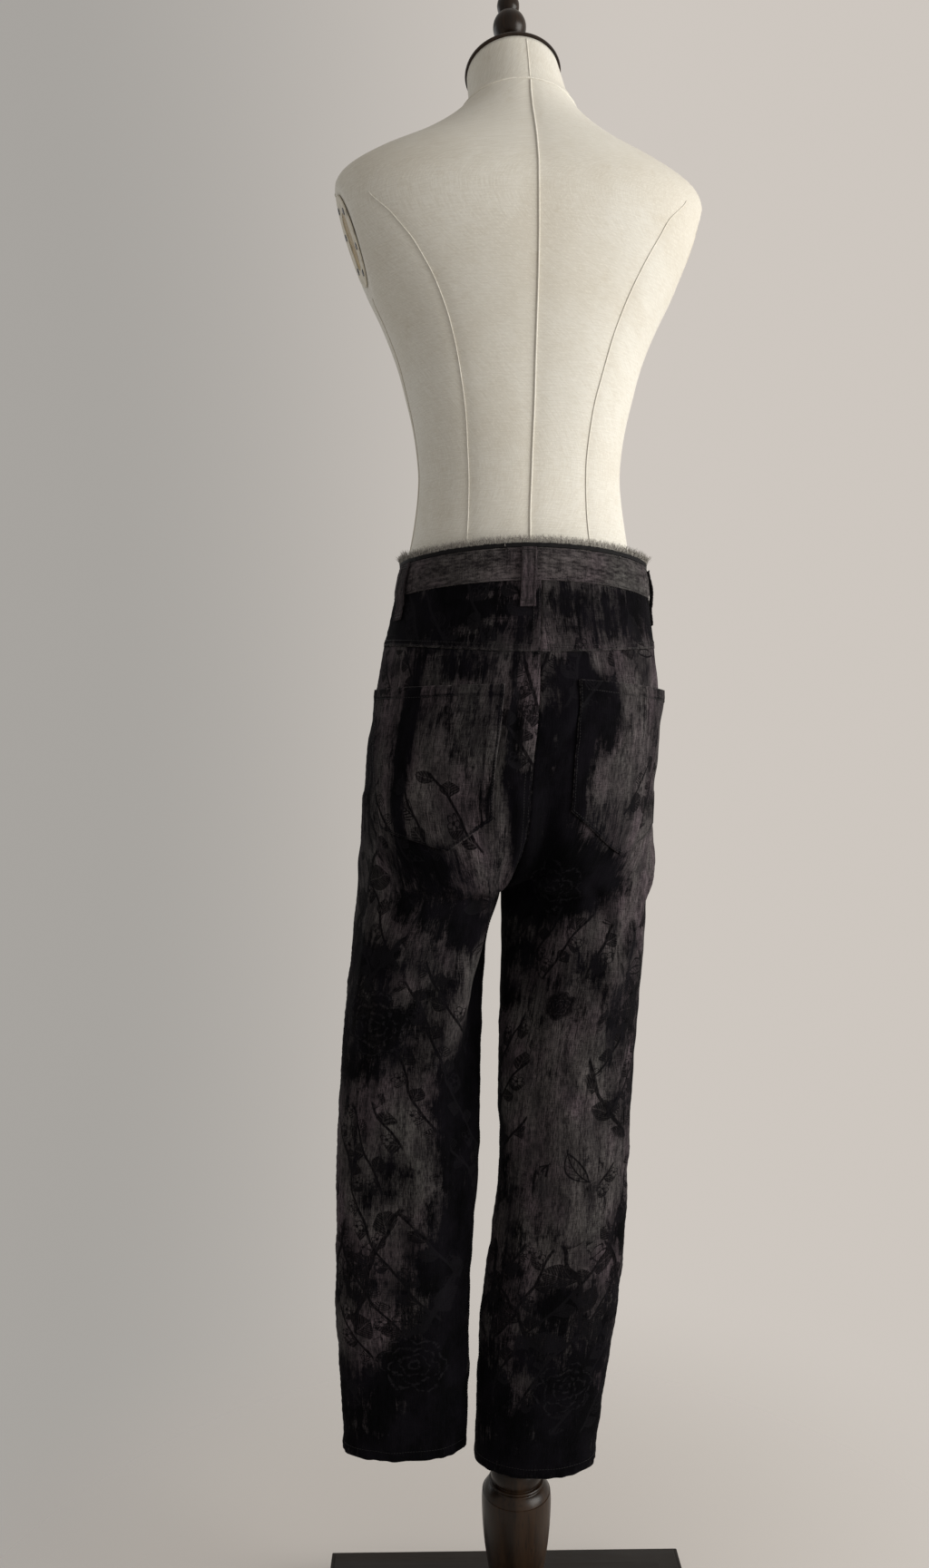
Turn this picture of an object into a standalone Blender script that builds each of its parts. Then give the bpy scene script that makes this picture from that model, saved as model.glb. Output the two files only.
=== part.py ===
"""Trousers hanging on a cloth-covered dress form with a turned wooden stand.

Metres, +Z up. The garment's front faces +Y and its right side is at +X, so it is seen from behind along +Y.
The origin is the middle of the base's underside.
"""

import math

import bmesh
import bpy
from mathutils import Matrix, Vector

LEFT, RIGHT = -1, 1
BACK, FRONT = -1, 1

# Thicknesses and gaps
CLOTH = 0.0015  # one layer of denim
BAND_CLOTH = 0.0022  # the waistband, folded double
TAPE_CLOTH = 0.0018
FRINGE_CLOTH = 0.0012
SEAM_GAP = 0.0003
LAID_GAP = 0.0009  # between a panel and a piece sewn on it

# Heights of the garment's lines, at the centre back where they dip towards the front
FRINGE_TOP = 1.4415
TAPE_TOP = 1.4342
BAND_TOP = 1.4288
BAND_BOTTOM = 1.3940
YOKE_AT_BACK = 1.3190
YOKE_AT_SIDE = 1.3290
SEAT_LINE = 1.1650  # the seat seam starts to run under here
CROTCH_HEIGHT = 1.0550
HEM_LEFT = 0.3790
HEM_RIGHT = 0.3640
WAIST_DIP_AT_SIDE = 0.0110
WAIST_DIP_AT_FRONT = 0.0200

# The lowest point between the legs
CROTCH_X = -0.0205
CROTCH_Y = 0.0040
CROTCH_SPLIT = 0.0012  # each leg's own seam is this far from the middle there
SIDE_SEAM_CENTRED = 0.800  # the height where the side seams reach the middle of the legs
HIP_TURN_ENDS = 0.700  # the hips' turn has faded out of the legs at this height

QUARTER_ARC = 0.5523  # handle of a Bezier that draws a quarter ellipse
HALF_ARC = 4 / 3  # handle of a Bezier that draws a half ellipse

# The garment round the hips: its middle, half width, depths and how far it is turned on the stand
SEAT = (
    # height, middle x, half width, back, front, turn in degrees
    (1.165, -0.0105, 0.1680, 0.1170, 0.1060, 8.0),
    (1.200, -0.0080, 0.1680, 0.1195, 0.1080, 7.8),
    (1.240, -0.0035, 0.1668, 0.1205, 0.1095, 7.6),
    (1.280, -0.0005, 0.1630, 0.1190, 0.1090, 7.4),
    (1.322, 0.0010, 0.1570, 0.1150, 0.1070, 7.2),
    (1.363, 0.0030, 0.1498, 0.1100, 0.1045, 7.0),
    (1.404, 0.0050, 0.1428, 0.1055, 0.1015, 6.8),
    (1.445, 0.0058, 0.1405, 0.1030, 0.0995, 6.6),
)

# The legs
LEGS = (
    # height, left out, left in, left back, left front, right in, right out, right back, right front
    (0.350, -0.2050, -0.0640, 0.0320, 0.0320, -0.0480, 0.0930, 0.0430, 0.0420),
    (0.372, -0.2060, -0.0625, 0.0320, 0.0320, -0.0490, 0.0955, 0.0430, 0.0420),
    (0.462, -0.2100, -0.0580, 0.0340, 0.0340, -0.0470, 0.1073, 0.0410, 0.0400),
    (0.551, -0.2155, -0.0569, 0.0370, 0.0370, -0.0429, 0.1207, 0.0400, 0.0400),
    (0.639, -0.2145, -0.0526, 0.0400, 0.0400, -0.0311, 0.1287, 0.0420, 0.0420),
    (0.727, -0.2142, -0.0462, 0.0460, 0.0450, -0.0215, 0.1322, 0.0470, 0.0460),
    (0.814, -0.2094, -0.0452, 0.0540, 0.0520, -0.0225, 0.1357, 0.0550, 0.0530),
    (0.901, -0.2024, -0.0432, 0.0680, 0.0640, -0.0208, 0.1414, 0.0690, 0.0660),
    (0.986, -0.1924, -0.0385, 0.0840, 0.0780, -0.0182, 0.1470, 0.0850, 0.0790),
    (1.029, -0.1879, -0.0295, 0.0910, 0.0830, -0.0188, 0.1487, 0.0910, 0.0830),
    (1.055, -0.1855, -0.0217, 0.0950, 0.0850, -0.0193, 0.1505, 0.0950, 0.0850),
    (1.165, -0.1780, -0.0217, 0.0980, 0.0860, -0.0193, 0.1565, 0.0980, 0.0860),
)

# The largest folds: soft ridges (positive) and troughs (negative) on a line from one place to another.
# A place is how far across the panel, 0 at the side seam and 1 at the inner seam, and its height.
FOLDS = (
    # leg, face, across from, height from, across to, height to, half width across, depth
    (RIGHT, BACK, 0.86, 1.280, 0.94, 1.210, 0.06, 0.0030),
    (RIGHT, BACK, 0.90, 1.130, 0.78, 1.020, 0.08, -0.0180),
    (RIGHT, BACK, 0.78, 1.020, 0.80, 0.880, 0.10, -0.0110),
    (RIGHT, BACK, 0.20, 1.090, 0.36, 1.030, 0.09, 0.0050),
    (RIGHT, BACK, 0.36, 1.030, 0.46, 0.900, 0.09, 0.0060),
    (RIGHT, BACK, 0.55, 0.860, 0.50, 0.600, 0.10, 0.0040),
    (LEFT, BACK, 0.82, 1.030, 0.62, 0.860, 0.08, 0.0080),
    (LEFT, BACK, 0.62, 0.860, 0.67, 0.430, 0.09, 0.0050),
    (LEFT, BACK, 0.93, 0.990, 0.82, 0.800, 0.10, -0.0110),
    (LEFT, BACK, 0.30, 1.040, 0.26, 0.850, 0.10, 0.0040),
    (LEFT, FRONT, 0.80, 1.110, 0.60, 0.980, 0.10, 0.0030),
    (RIGHT, FRONT, 0.80, 1.110, 0.55, 0.970, 0.10, 0.0030),
    (LEFT, FRONT, 0.55, 0.880, 0.50, 0.620, 0.10, 0.0050),
    (RIGHT, FRONT, 0.50, 0.880, 0.52, 0.620, 0.10, 0.0050),
)
FOLD_ENDS = 0.4  # how far past its ends a fold fades, as a share of its length
SIDE_SEAM_HOLD = 0.12  # folds fade this near the side seam, as a share of the panel's width
INNER_SEAM_HOLD = 0.10
NORMAL_STEP_ACROSS = 0.01
NORMAL_STEP_UP = 0.004

PANEL_ACROSS = (0.0, 0.07, 0.16, 0.27, 0.39, 0.51, 0.63, 0.74, 0.84, 0.92, 1.0)
YOKE_ROWS = 4
LEG_ROWS = (
    # from height, to height, rows
    (SEAT_LINE, CROTCH_HEIGHT, 9),
    (CROTCH_HEIGHT, 0.90, 5),
)
TOP_ROWS = 6  # above the seat line
LOWER_LEG_ROWS = 11

# Corners of the back pockets on their panels
POCKETS = (
    # leg, corner, across, height
    (LEFT, "top side", 0.06, 1.2800),
    (LEFT, "top middle", 0.86, 1.2850),
    (LEFT, "low middle", 0.85, 1.1500),
    (LEFT, "tip", 0.62, 1.1220),
    (LEFT, "low side", 0.27, 1.1310),
    (RIGHT, "top side", 0.14, 1.2800),
    (RIGHT, "top middle", 0.84, 1.2900),
    (RIGHT, "low middle", 0.83, 1.1550),
    (RIGHT, "tip", 0.47, 1.1100),
    (RIGHT, "low side", 0.17, 1.1300),
)
POCKET_COLUMNS = 21
POCKET_ROWS = 13

# Belt loops
LOOP_HALF_WIDTH = 0.0080
LOOP_TOP = 1.4290
LOOP_BOTTOM = 1.3660
LOOP_CLOTH = 0.0014
LOOP_BULGE = 0.0026  # how far a loop stands off the band half way up
LOOP_ROWS = 9
LOOP_BULGE_SHARE = 0.72
LOOP_STEP_BELOW_BAND = 0.012
LOOP_STEP_LENGTH = 0.008
HALF_WAIST = 0.382  # half the way round the waist
LOOPS = (
    # name, place round the waist (0 centre back, 0.5 left side, 1 centre front, negative on the right)
    ("loop_back", 0.030),
    ("loop_left", 0.405),
    ("loop_right", -0.475),
    ("loop_front_left", 0.800),
    ("loop_front_right", -0.800),
)

# Front opening
LAP_END = 1.100  # the waistband's left end, past the centre front
LAP_START = 0.965
FLY_LENGTH = 0.165
FLY_SIDE = 0.74  # how far across the left front it starts
FLY_LAP = 0.97  # how far across the right front it ends
FLY_ROWS = 6
BUTTON_PLACE = 1.035
BUTTON_RADIUS = 0.0085
BUTTON_THICK = 0.0034
BUTTON_FOOT_RADIUS = 0.00765
BUTTON_TOP_RADIUS = 0.007225
BUTTON_EDGE_LOW = 0.00102
BUTTON_EDGE_HIGH = 0.00255

# The form: half width and depths before it is turned on the stand
FORM_TURN = 7.0
FORM_SIDES = 32
SMALL_LATHE_SIDES = 24
FORM = (
    # height, half width, back, front, squareness
    (1.1650, 0.1490, 0.1080, 0.1000, 2.00),
    (1.2000, 0.1560, 0.1138, 0.1050, 2.00),
    (1.2450, 0.1600, 0.1162, 0.1064, 2.00),
    (1.2900, 0.1570, 0.1138, 0.1054, 2.00),
    (1.3400, 0.1480, 0.1060, 0.1015, 2.00),
    (1.3900, 0.1370, 0.0965, 0.0970, 2.00),
    (1.4350, 0.1265, 0.0900, 0.0930, 2.05),
    (1.4660, 0.1205, 0.0875, 0.0915, 2.05),
    (1.5000, 0.1155, 0.0860, 0.0905, 2.10),
    (1.5270, 0.1145, 0.0855, 0.0910, 2.15),
    (1.5670, 0.1195, 0.0870, 0.0950, 2.20),
    (1.6070, 0.1285, 0.0905, 0.1015, 2.25),
    (1.6470, 0.1390, 0.0950, 0.1080, 2.30),
    (1.6870, 0.1550, 0.1005, 0.1140, 2.35),
    (1.7260, 0.1750, 0.1050, 0.1170, 2.35),
    (1.7660, 0.1945, 0.1070, 0.1150, 2.35),
    (1.8000, 0.2060, 0.1050, 0.1080, 2.30),
    (1.8245, 0.2085, 0.0990, 0.0970, 2.20),
    (1.8440, 0.1995, 0.0910, 0.0850, 2.10),
    (1.8640, 0.1680, 0.0820, 0.0740, 2.05),
    (1.8840, 0.1235, 0.0720, 0.0690, 2.00),
    (1.9040, 0.0900, 0.0600, 0.0680, 2.00),
    (1.9235, 0.0665, 0.0500, 0.0685, 2.00),
    (1.9400, 0.0560, 0.0445, 0.0675, 2.00),
)
NECK_TILT = math.radians(18)
NECK_FOOT = Vector((0.0, 0.0115, 1.9400))
NECK_HEAD = Vector((-0.0055, 0.0160, 1.9720))
NECK_FOOT_RADIUS = 0.0560
NECK_HEAD_RADIUS = 0.0520
NECK_RINGS = 3

CAP_PROFILE = (
    # radius, height above the neck
    (0.0535, 0.0003),
    (0.0540, 0.0022),
    (0.0535, 0.0042),
    (0.0480, 0.0070),
    (0.0300, 0.0115),
    (0.0165, 0.0145),
    (0.0160, 0.0160),
)

# Finial, from the bottom up, with its ball between the two parts
FINIAL_FOOT = (
    (0.0140, 0.0163),
    (0.0165, 0.0195),
    (0.0160, 0.0240),
    (0.0105, 0.0290),
    (0.0082, 0.0380),
    (0.0088, 0.0460),
    (0.0120, 0.0490),
    (0.0110, 0.0520),
)
BALL_HEIGHT = 0.0695
BALL_RADIUS = 0.0190
BALL_RINGS = 7
BALL_LOW_ANGLE = math.radians(-62)
BALL_HIGH_ANGLE = math.radians(64)
FINIAL_HEAD = (
    (0.0080, 0.0885),
    (0.0095, 0.0905),
    (0.0122, 0.0960),
    (0.0128, 0.1020),
    (0.0110, 0.1080),
    (0.0070, 0.1120),
    (0.0030, 0.1135),
)

# Where arms would fit: a flat on each side of the form, with a plate on it
ARM_FLAT_X = 0.1875
ARM_FLAT_Z = 1.7740
ARM_FLAT_LEAN = math.radians(19)
CUTTER_SIDE = 0.300
PLATE_HALF_HEIGHT = 0.0500
PLATE_HALF_WIDTH = 0.0330
PLATE_THICK = 0.0020
PLATE_SIDES = 36
SLOT_HALF_HEIGHT = 0.0310
SLOT_HALF_WIDTH = 0.0140
INLAY_THICK = 0.0011

# Stand
BASE_SIDE = 0.4950
BASE_STEP = 0.0060
BASE_EDGE_TOP = 0.0550
BASE_TOP = 0.0580
PANEL_SIDE = 0.4300
PANEL_CHAMFER = 0.0040
PANEL_TOP = 0.0625
POLE_RADIUS = 0.0125
COLUMN_SIDES = 32
COLUMN_PROFILE = (
    # radius, height
    (0.0500, PANEL_TOP + SEAM_GAP),
    (0.0525, 0.0680),
    (0.0520, 0.0750),
    (0.0400, 0.0820),
    (0.0285, 0.0960),
    (0.0215, 0.1230),
    (0.0220, 0.1550),
    (0.0275, 0.1930),
    (0.0330, 0.2250),
    (0.0378, 0.2560),
    (0.0402, 0.2790),
    (0.0416, 0.3020),
    (0.0416, 0.3180),
    (0.0395, 0.3275),
    (0.0345, 0.3330),
    (0.0322, 0.3340),
    (0.0322, 0.3372),
    (0.0296, 0.3382),
    (0.0310, 0.3440),
    (0.0308, 0.3500),
    (0.0270, 0.3570),
    (0.0190, 0.3620),
    (0.0160, 0.3700),
)

COLORS = {
    # name: colour, roughness
    "denim": ((0.028, 0.025, 0.026), 0.85),
    "band_denim": ((0.030, 0.024, 0.025), 0.85),
    "tape": ((0.008, 0.008, 0.010), 0.80),
    "fringe": ((0.300, 0.290, 0.280), 0.90),
    "button_metal": ((0.150, 0.130, 0.110), 0.40),
    "canvas": ((0.640, 0.600, 0.500), 0.85),
    "dark_wood": ((0.050, 0.032, 0.022), 0.40),
    "base_wood": ((0.035, 0.028, 0.024), 0.50),
    "plate_cloth": ((0.560, 0.520, 0.430), 0.80),
    "slot_wood": ((0.380, 0.200, 0.060), 0.60),
}


def clear_scene():
    for existing in list(bpy.data.objects):
        bpy.data.objects.remove(existing)


def material(node, finish):
    color, roughness = COLORS[finish]
    made = bpy.data.materials.new(f"{node}_{finish}")
    made.use_nodes = True
    shader = made.node_tree.nodes["Principled BSDF"]
    shader.inputs["Base Color"].default_value = (*color, 1.0)
    shader.inputs["Roughness"].default_value = roughness
    shader.inputs["Metallic"].default_value = 1.0 if finish == "button_metal" else 0.0
    return made


def add_object(name, mesh, finish, place=None):
    """Turn a bmesh into the named object."""
    bmesh.ops.recalc_face_normals(mesh, faces=mesh.faces)
    data = bpy.data.meshes.new(name)
    mesh.to_mesh(data)
    mesh.free()
    data.materials.append(material(name, finish))
    data.shade_smooth()
    data.set_sharp_from_angle(angle=math.radians(40))
    made = bpy.data.objects.new(name, data)
    bpy.context.scene.collection.objects.link(made)
    if place is not None:
        made.matrix_world = place
    return made


def ease(t):
    t = min(max(t, 0.0), 1.0)
    return t * t * (3 - 2 * t)


def spaced(first, last, count):
    return [first + (last - first) * k / (count - 1) for k in range(count)]


def smooth(table, column, height):
    """A table's value at a height, on a curve through its rows."""
    rows = [(row[0], row[column]) for row in table]
    if height <= rows[0][0]:
        return rows[0][1]
    if height >= rows[-1][0]:
        return rows[-1][1]
    k = max(i for i, row in enumerate(rows) if row[0] <= height)

    def slope(i):
        before, after = rows[max(i - 1, 0)], rows[min(i + 1, len(rows) - 1)]
        return (after[1] - before[1]) / (after[0] - before[0])

    (low, low_value), (high, high_value) = rows[k], rows[k + 1]
    step = high - low
    t = (height - low) / step
    return (
        (2 * t**3 - 3 * t**2 + 1) * low_value
        + (t**3 - 2 * t**2 + t) * step * slope(k)
        + (3 * t**2 - 2 * t**3) * high_value
        + (t**3 - t**2) * step * slope(k + 1)
    )


def turned(x, y, degrees):
    angle = math.radians(degrees)
    return Vector((x * math.cos(angle) - y * math.sin(angle), x * math.sin(angle) + y * math.cos(angle)))


def hip_ring(height):
    """Middle, half width, back, front and turn of the garment round the hips."""
    middle, wide, back, front, turn = (smooth(SEAT, column, height) for column in range(1, 6))
    return Vector((middle, 0.0)), wide, back, front, turn


def leg_ring(side, height):
    """Outer x, inner x, back depth and front depth of a leg."""
    columns = (1, 2, 3, 4) if side == LEFT else (6, 5, 7, 8)
    return tuple(smooth(LEGS, column, height) for column in columns)


def side_seam(side, height):
    """The side seam: on the hips down to the seat line, then on the leg."""
    middle, wide, _, _, turn = hip_ring(max(height, SEAT_LINE))
    start = middle + turned(side * wide, 0.0, turn)
    if height >= SEAT_LINE:
        return start
    share = ease((SEAT_LINE - height) / (SEAT_LINE - SIDE_SEAM_CENTRED))
    return Vector((leg_ring(side, height)[0], start.y * (1 - share)))


def inner_seam(side, face, height):
    """The seat seam down to the crotch, and the inside leg seam below it."""
    if height <= CROTCH_HEIGHT:
        return Vector((leg_ring(side, height)[1], CROTCH_Y, height))
    middle, _, back, front, turn = hip_ring(max(height, SEAT_LINE))
    start = middle + turned(0.0, face * (back if face == BACK else front), turn)
    if height >= SEAT_LINE:
        return Vector((start.x, start.y, height))
    angle = (SEAT_LINE - height) / (SEAT_LINE - CROTCH_HEIGHT) * math.pi / 2
    end_x = CROTCH_X + side * CROTCH_SPLIT
    return Vector((
        start.x + (end_x - start.x) * math.sin(angle) ** 2,
        start.y + (CROTCH_Y - start.y) * (1 - math.cos(angle)),
        SEAT_LINE - (SEAT_LINE - CROTCH_HEIGHT) * math.sin(angle),
    ))


def bare_point(side, face, across, height):
    """The garment's outer surface before its folds: across is 0 at the side seam and 1 at the inner seam."""
    start = side_seam(side, height)
    end = inner_seam(side, face, height)
    to_leg = ease((SEAT_LINE - height) / (SEAT_LINE - CROTCH_HEIGHT))
    _, wide, back, front, turn = hip_ring(max(height, SEAT_LINE))
    turn *= 1 - ease((SEAT_LINE - height) / (SEAT_LINE - HIP_TURN_ENDS))
    reach = back if face == BACK else front
    depth = leg_ring(side, min(height, SEAT_LINE))[2 if face == BACK else 3]
    side_handle = turned(0.0, face * (QUARTER_ARC * reach * (1 - to_leg) + HALF_ARC * depth * to_leg), turn)
    inner_handle = turned(side * QUARTER_ARC * wide * (1 - to_leg), face * HALF_ARC * depth * to_leg, turn)
    corner = Vector((end.x, end.y))
    t = across
    flat = (
        start * (1 - t) ** 3
        + (start + side_handle) * 3 * t * (1 - t) ** 2
        + (corner + inner_handle) * 3 * t * t * (1 - t)
        + corner * t**3
    )
    return Vector((flat.x, flat.y, height + (end.z - height) * ease(across)))


def fold_depth(side, face, across, height):
    """How far the folds move the cloth out. The seams hold the cloth, so folds fade there."""
    total = 0.0
    for leg, of_face, from_across, from_height, to_across, to_height, half_width, depth in FOLDS:
        if leg != side or of_face != face:
            continue
        along = (from_height - height) / (from_height - to_height)
        line = from_across + (to_across - from_across) * min(max(along, 0.0), 1.0)
        ends = ease((along + FOLD_ENDS) / (2 * FOLD_ENDS)) * ease((1 + FOLD_ENDS - along) / (2 * FOLD_ENDS))
        total += depth * ends * math.exp(-(((across - line) / half_width) ** 2))
    return total * ease(across / SIDE_SEAM_HOLD) * ease((1 - across) / INNER_SEAM_HOLD)


def cloth_point(side, face, across, height):
    """A point of the garment's outer surface and the outward normal there."""
    before = bare_point(side, face, max(across - NORMAL_STEP_ACROSS, 0.0), height)
    after = bare_point(side, face, min(across + NORMAL_STEP_ACROSS, 1.0), height)
    below = bare_point(side, face, across, height - NORMAL_STEP_UP)
    above = bare_point(side, face, across, height + NORMAL_STEP_UP)
    normal = (after - before).cross(below - above).normalized() * (-side * face)
    return bare_point(side, face, across, height) + normal * fold_depth(side, face, across, height), normal


def waist_dip(face, across):
    """How much lower the waist is than at the centre back."""
    if face == BACK:
        return WAIST_DIP_AT_SIDE * (1 - ease(across))
    return WAIST_DIP_AT_SIDE + (WAIST_DIP_AT_FRONT - WAIST_DIP_AT_SIDE) * ease(across)


def yoke_line(across):
    return YOKE_AT_SIDE + (YOKE_AT_BACK - YOKE_AT_SIDE) * ease(across)


def panel_top(face, across):
    return yoke_line(across) if face == BACK else BAND_BOTTOM - waist_dip(FRONT, across)


def row_heights(side, face, across):
    """Heights of a leg panel's rows, from its top edge to the hem, at a place across it."""
    heights = spaced(panel_top(face, across), SEAT_LINE, TOP_ROWS)
    for start, end, rows in LEG_ROWS:
        heights += spaced(start, end, rows)[1:]
    hem = HEM_LEFT if side == LEFT else HEM_RIGHT
    return heights + spaced(heights[-1], hem, LOWER_LEG_ROWS)[1:]


def leg_grid(side, face):
    """The outer points and normals of a leg panel."""
    columns = [[cloth_point(side, face, across, height) for height in row_heights(side, face, across)]
               for across in PANEL_ACROSS]
    return [list(row) for row in zip(*columns)]


def yoke_grid(side):
    columns = []
    for across in PANEL_ACROSS:
        top = BAND_BOTTOM - waist_dip(BACK, across)
        heights = spaced(top, yoke_line(across), YOKE_ROWS)
        columns.append([cloth_point(side, BACK, across, height) for height in heights])
    return [list(row) for row in zip(*columns)]


def between(values, value):
    """Index and share of a value between its neighbours in a list that rises or falls."""
    rising = values[-1] > values[0]
    for k in range(len(values) - 1):
        low, high = values[k], values[k + 1]
        if (low <= value <= high) if rising else (low >= value >= high):
            return k, (value - low) / (high - low)
    return (0, 0.0) if (value < values[0]) == rising else (len(values) - 2, 1.0)


def on_grid(grid, row, down, column, along, lift):
    """A point on a grid's own flat triangles, lifted off them. Each cell is split from its first corner."""
    near, far = grid[row][column], grid[row + 1][column + 1]
    other = grid[row + 1][column] if down >= along else grid[row][column + 1]
    weights = (1 - max(down, along), abs(down - along), min(down, along))
    point, normal = Vector(), Vector()
    for (corner, corner_normal), weight in zip((near, other, far), weights):
        point += corner * weight
        normal += corner_normal * weight
    return point + normal.normalized() * lift, normal.normalized()


def on_leg(side, face, across, height, lift, grids):
    """A point on a leg panel as it is made, lifted off it."""
    row, row_share = between(row_heights(side, face, across), height)
    column, column_share = between(PANEL_ACROSS, across)
    return on_grid(grids[side, face], row, row_share, column, column_share, lift)


def drawn_in(grid, bottom=True):
    """A grid with its edges moved in by half a seam gap."""
    half = SEAM_GAP / 2
    points = [[point for point, _ in row] for row in grid]
    moved = [[point.copy() for point in row] for row in points]
    for i, row in enumerate(points):
        moved[i][0] += (row[1] - row[0]).normalized() * half
        moved[i][-1] += (row[-2] - row[-1]).normalized() * half
    for j in range(len(points[0])):
        moved[0][j] += (points[1][j] - points[0][j]).normalized() * half
        if bottom:
            moved[-1][j] += (points[-2][j] - points[-1][j]).normalized() * half
    return [[(point, pair[1]) for point, pair in zip(row, pairs)] for row, pairs in zip(moved, grid)]


def cloth_wall(name, grid, thickness, finish):
    """A closed wall: the outer points of a grid, and the same points moved in by the thickness."""
    mesh = bmesh.new()
    outer = [[mesh.verts.new(point) for point, _ in row] for row in grid]
    inner = [[mesh.verts.new(point - normal * thickness) for point, normal in row] for row in grid]
    rows, columns = len(grid), len(grid[0])
    for i in range(rows - 1):
        for j in range(columns - 1):
            for skin in (outer, inner):
                mesh.faces.new((skin[i][j], skin[i + 1][j], skin[i + 1][j + 1]))
                mesh.faces.new((skin[i][j], skin[i + 1][j + 1], skin[i][j + 1]))
        for j in (0, columns - 1):
            mesh.faces.new((outer[i][j], outer[i + 1][j], inner[i + 1][j], inner[i][j]))
    for j in range(columns - 1):
        for i in (0, rows - 1):
            mesh.faces.new((outer[i][j], outer[i][j + 1], inner[i][j + 1], inner[i][j]))
    return add_object(name, mesh, finish)


def waist_place(place):
    """Half, face and share across for a place round the waist: 0 centre back, 0.5 side, 1 centre front."""
    side = LEFT if place >= 0 else RIGHT
    place = abs(place)
    if place > 1:
        side, place = -side, 2 - place
    if place < 0.5:
        return side, BACK, 1 - 2 * place
    return side, FRONT, 2 * place - 1


def waist_point(place, level, lift):
    """A point on the waist at a level given at the centre back, on the faces between the panels' columns."""
    side, face, across = waist_place(place)
    k, share = between(PANEL_ACROSS, across)
    ends = []
    for column in (PANEL_ACROSS[k], PANEL_ACROSS[k + 1]):
        point, normal = cloth_point(side, face, column, level - waist_dip(face, column))
        ends.append((point + normal * lift, normal))
    (first, first_normal), (second, second_normal) = ends
    return first.lerp(second, share), first_normal.lerp(second_normal, share).normalized()


def waist_places():
    """Places of the waistband's columns, from its left end, which laps the front, to its right end."""
    half_back = [(1 - across) / 2 for across in PANEL_ACROSS][::-1]
    half_front = [(1 + across) / 2 for across in PANEL_ACROSS][1:]
    half = half_back + half_front
    lap = [LAP_END, (1 + LAP_END) / 2]
    first_half = [place for place in half[::-1] if not LAP_START < place < 1]
    first_half.insert(1, LAP_START)
    return lap + first_half + [-place for place in half[1:]]


def lap_lift(place, thickness):
    """The left end lies over the right end."""
    return (thickness + LAID_GAP) * ease((place - LAP_START) / (1 - LAP_START))


def waist_strip(name, low, high, thickness, finish):
    """A strip round the waist whose inner side is level with the inner side of the panels."""
    lift = thickness - CLOTH
    grid = []
    for level in (high, low):
        row = [waist_point(place, level, lift + lap_lift(place, BAND_CLOTH)) for place in waist_places()]
        grid.append(row)
    return cloth_wall(name, drawn_in(grid), thickness, finish)


def belt_loop(name, place):
    """A strip sewn down at both ends that stands off the waistband between them."""
    guess = LOOP_HALF_WIDTH / HALF_WAIST
    middle = (LOOP_TOP + LOOP_BOTTOM) / 2
    (first, _), (last, _) = (waist_point(place + offset * guess, middle, 0.0) for offset in (-1, 1))
    wide = guess * 2 * LOOP_HALF_WIDTH / (last - first).length
    grid = []
    for k, level in enumerate(spaced(LOOP_TOP, LOOP_BOTTOM, LOOP_ROWS)):
        along = k / (LOOP_ROWS - 1)
        above_step = level - BAND_BOTTOM + LOOP_STEP_BELOW_BAND
        over_band = (BAND_CLOTH - CLOTH) * ease(above_step / LOOP_STEP_LENGTH)
        off = LOOP_BULGE * math.sin(math.pi * min(along / LOOP_BULGE_SHARE, 1.0)) ** 2
        lift = over_band + LAID_GAP + off + LOOP_CLOTH
        row = [waist_point(place + offset * wide, level, lift) for offset in (-1, 0, 1)]
        grid.append(row)
    return cloth_wall(name, grid, LOOP_CLOTH, "band_denim")


def back_pocket(name, side, grids):
    """A patch on the back panel, with a straight top and a pointed bottom."""
    corners = {corner: Vector((across, height)) for leg, corner, across, height in POCKETS if leg == side}
    tip_share = (POCKET_COLUMNS // 2) / (POCKET_COLUMNS - 1)
    grid = []
    for down in spaced(0.0, 1.0, POCKET_ROWS):
        row = []
        for share in spaced(0.0, 1.0, POCKET_COLUMNS):
            top = corners["top side"].lerp(corners["top middle"], share)
            if share <= tip_share:
                low = corners["low side"].lerp(corners["tip"], share / tip_share)
            else:
                low = corners["tip"].lerp(corners["low middle"], (share - tip_share) / (1 - tip_share))
            across, height = top.lerp(low, down)
            row.append(on_leg(side, BACK, across, height, CLOTH + LAID_GAP, grids))
        grid.append(row)
    return cloth_wall(name, grid, CLOTH, "denim")


def fly(grids):
    """The front opening's lap, on the left front and a little over the centre."""
    places = [(LEFT, across) for across in PANEL_ACROSS if across > FLY_SIDE] + [(RIGHT, FLY_LAP)]
    places.insert(0, (LEFT, FLY_SIDE))
    grid = []
    for down in spaced(0.0, 1.0, FLY_ROWS):
        row = []
        for side, across in places:
            top = panel_top(FRONT, across) - SEAM_GAP
            row.append(on_leg(side, FRONT, across, top - FLY_LENGTH * down, CLOTH + LAID_GAP, grids))
        grid.append(row)
    return cloth_wall("fly", grid, CLOTH, "denim")


def lathe(name, profile, sides, finish, place=None):
    """A solid turned about Z from (radius, height) pairs, from the bottom up, with flat ends."""
    mesh = bmesh.new()
    rings = []
    for radius, height in profile:
        angles = [2 * math.pi * k / sides for k in range(sides)]
        rings.append([mesh.verts.new((radius * math.cos(a), radius * math.sin(a), height)) for a in angles])
    close_rings(mesh, rings)
    return add_object(name, mesh, finish, place)


def close_rings(mesh, rings):
    """Faces between successive rings, and a flat face on the first and last."""
    for low, high in zip(rings, rings[1:]):
        for k in range(len(low)):
            n = (k + 1) % len(low)
            mesh.faces.new((low[k], low[n], high[n], high[k]))
    mesh.faces.new(rings[0][::-1])
    mesh.faces.new(rings[-1])


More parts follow.
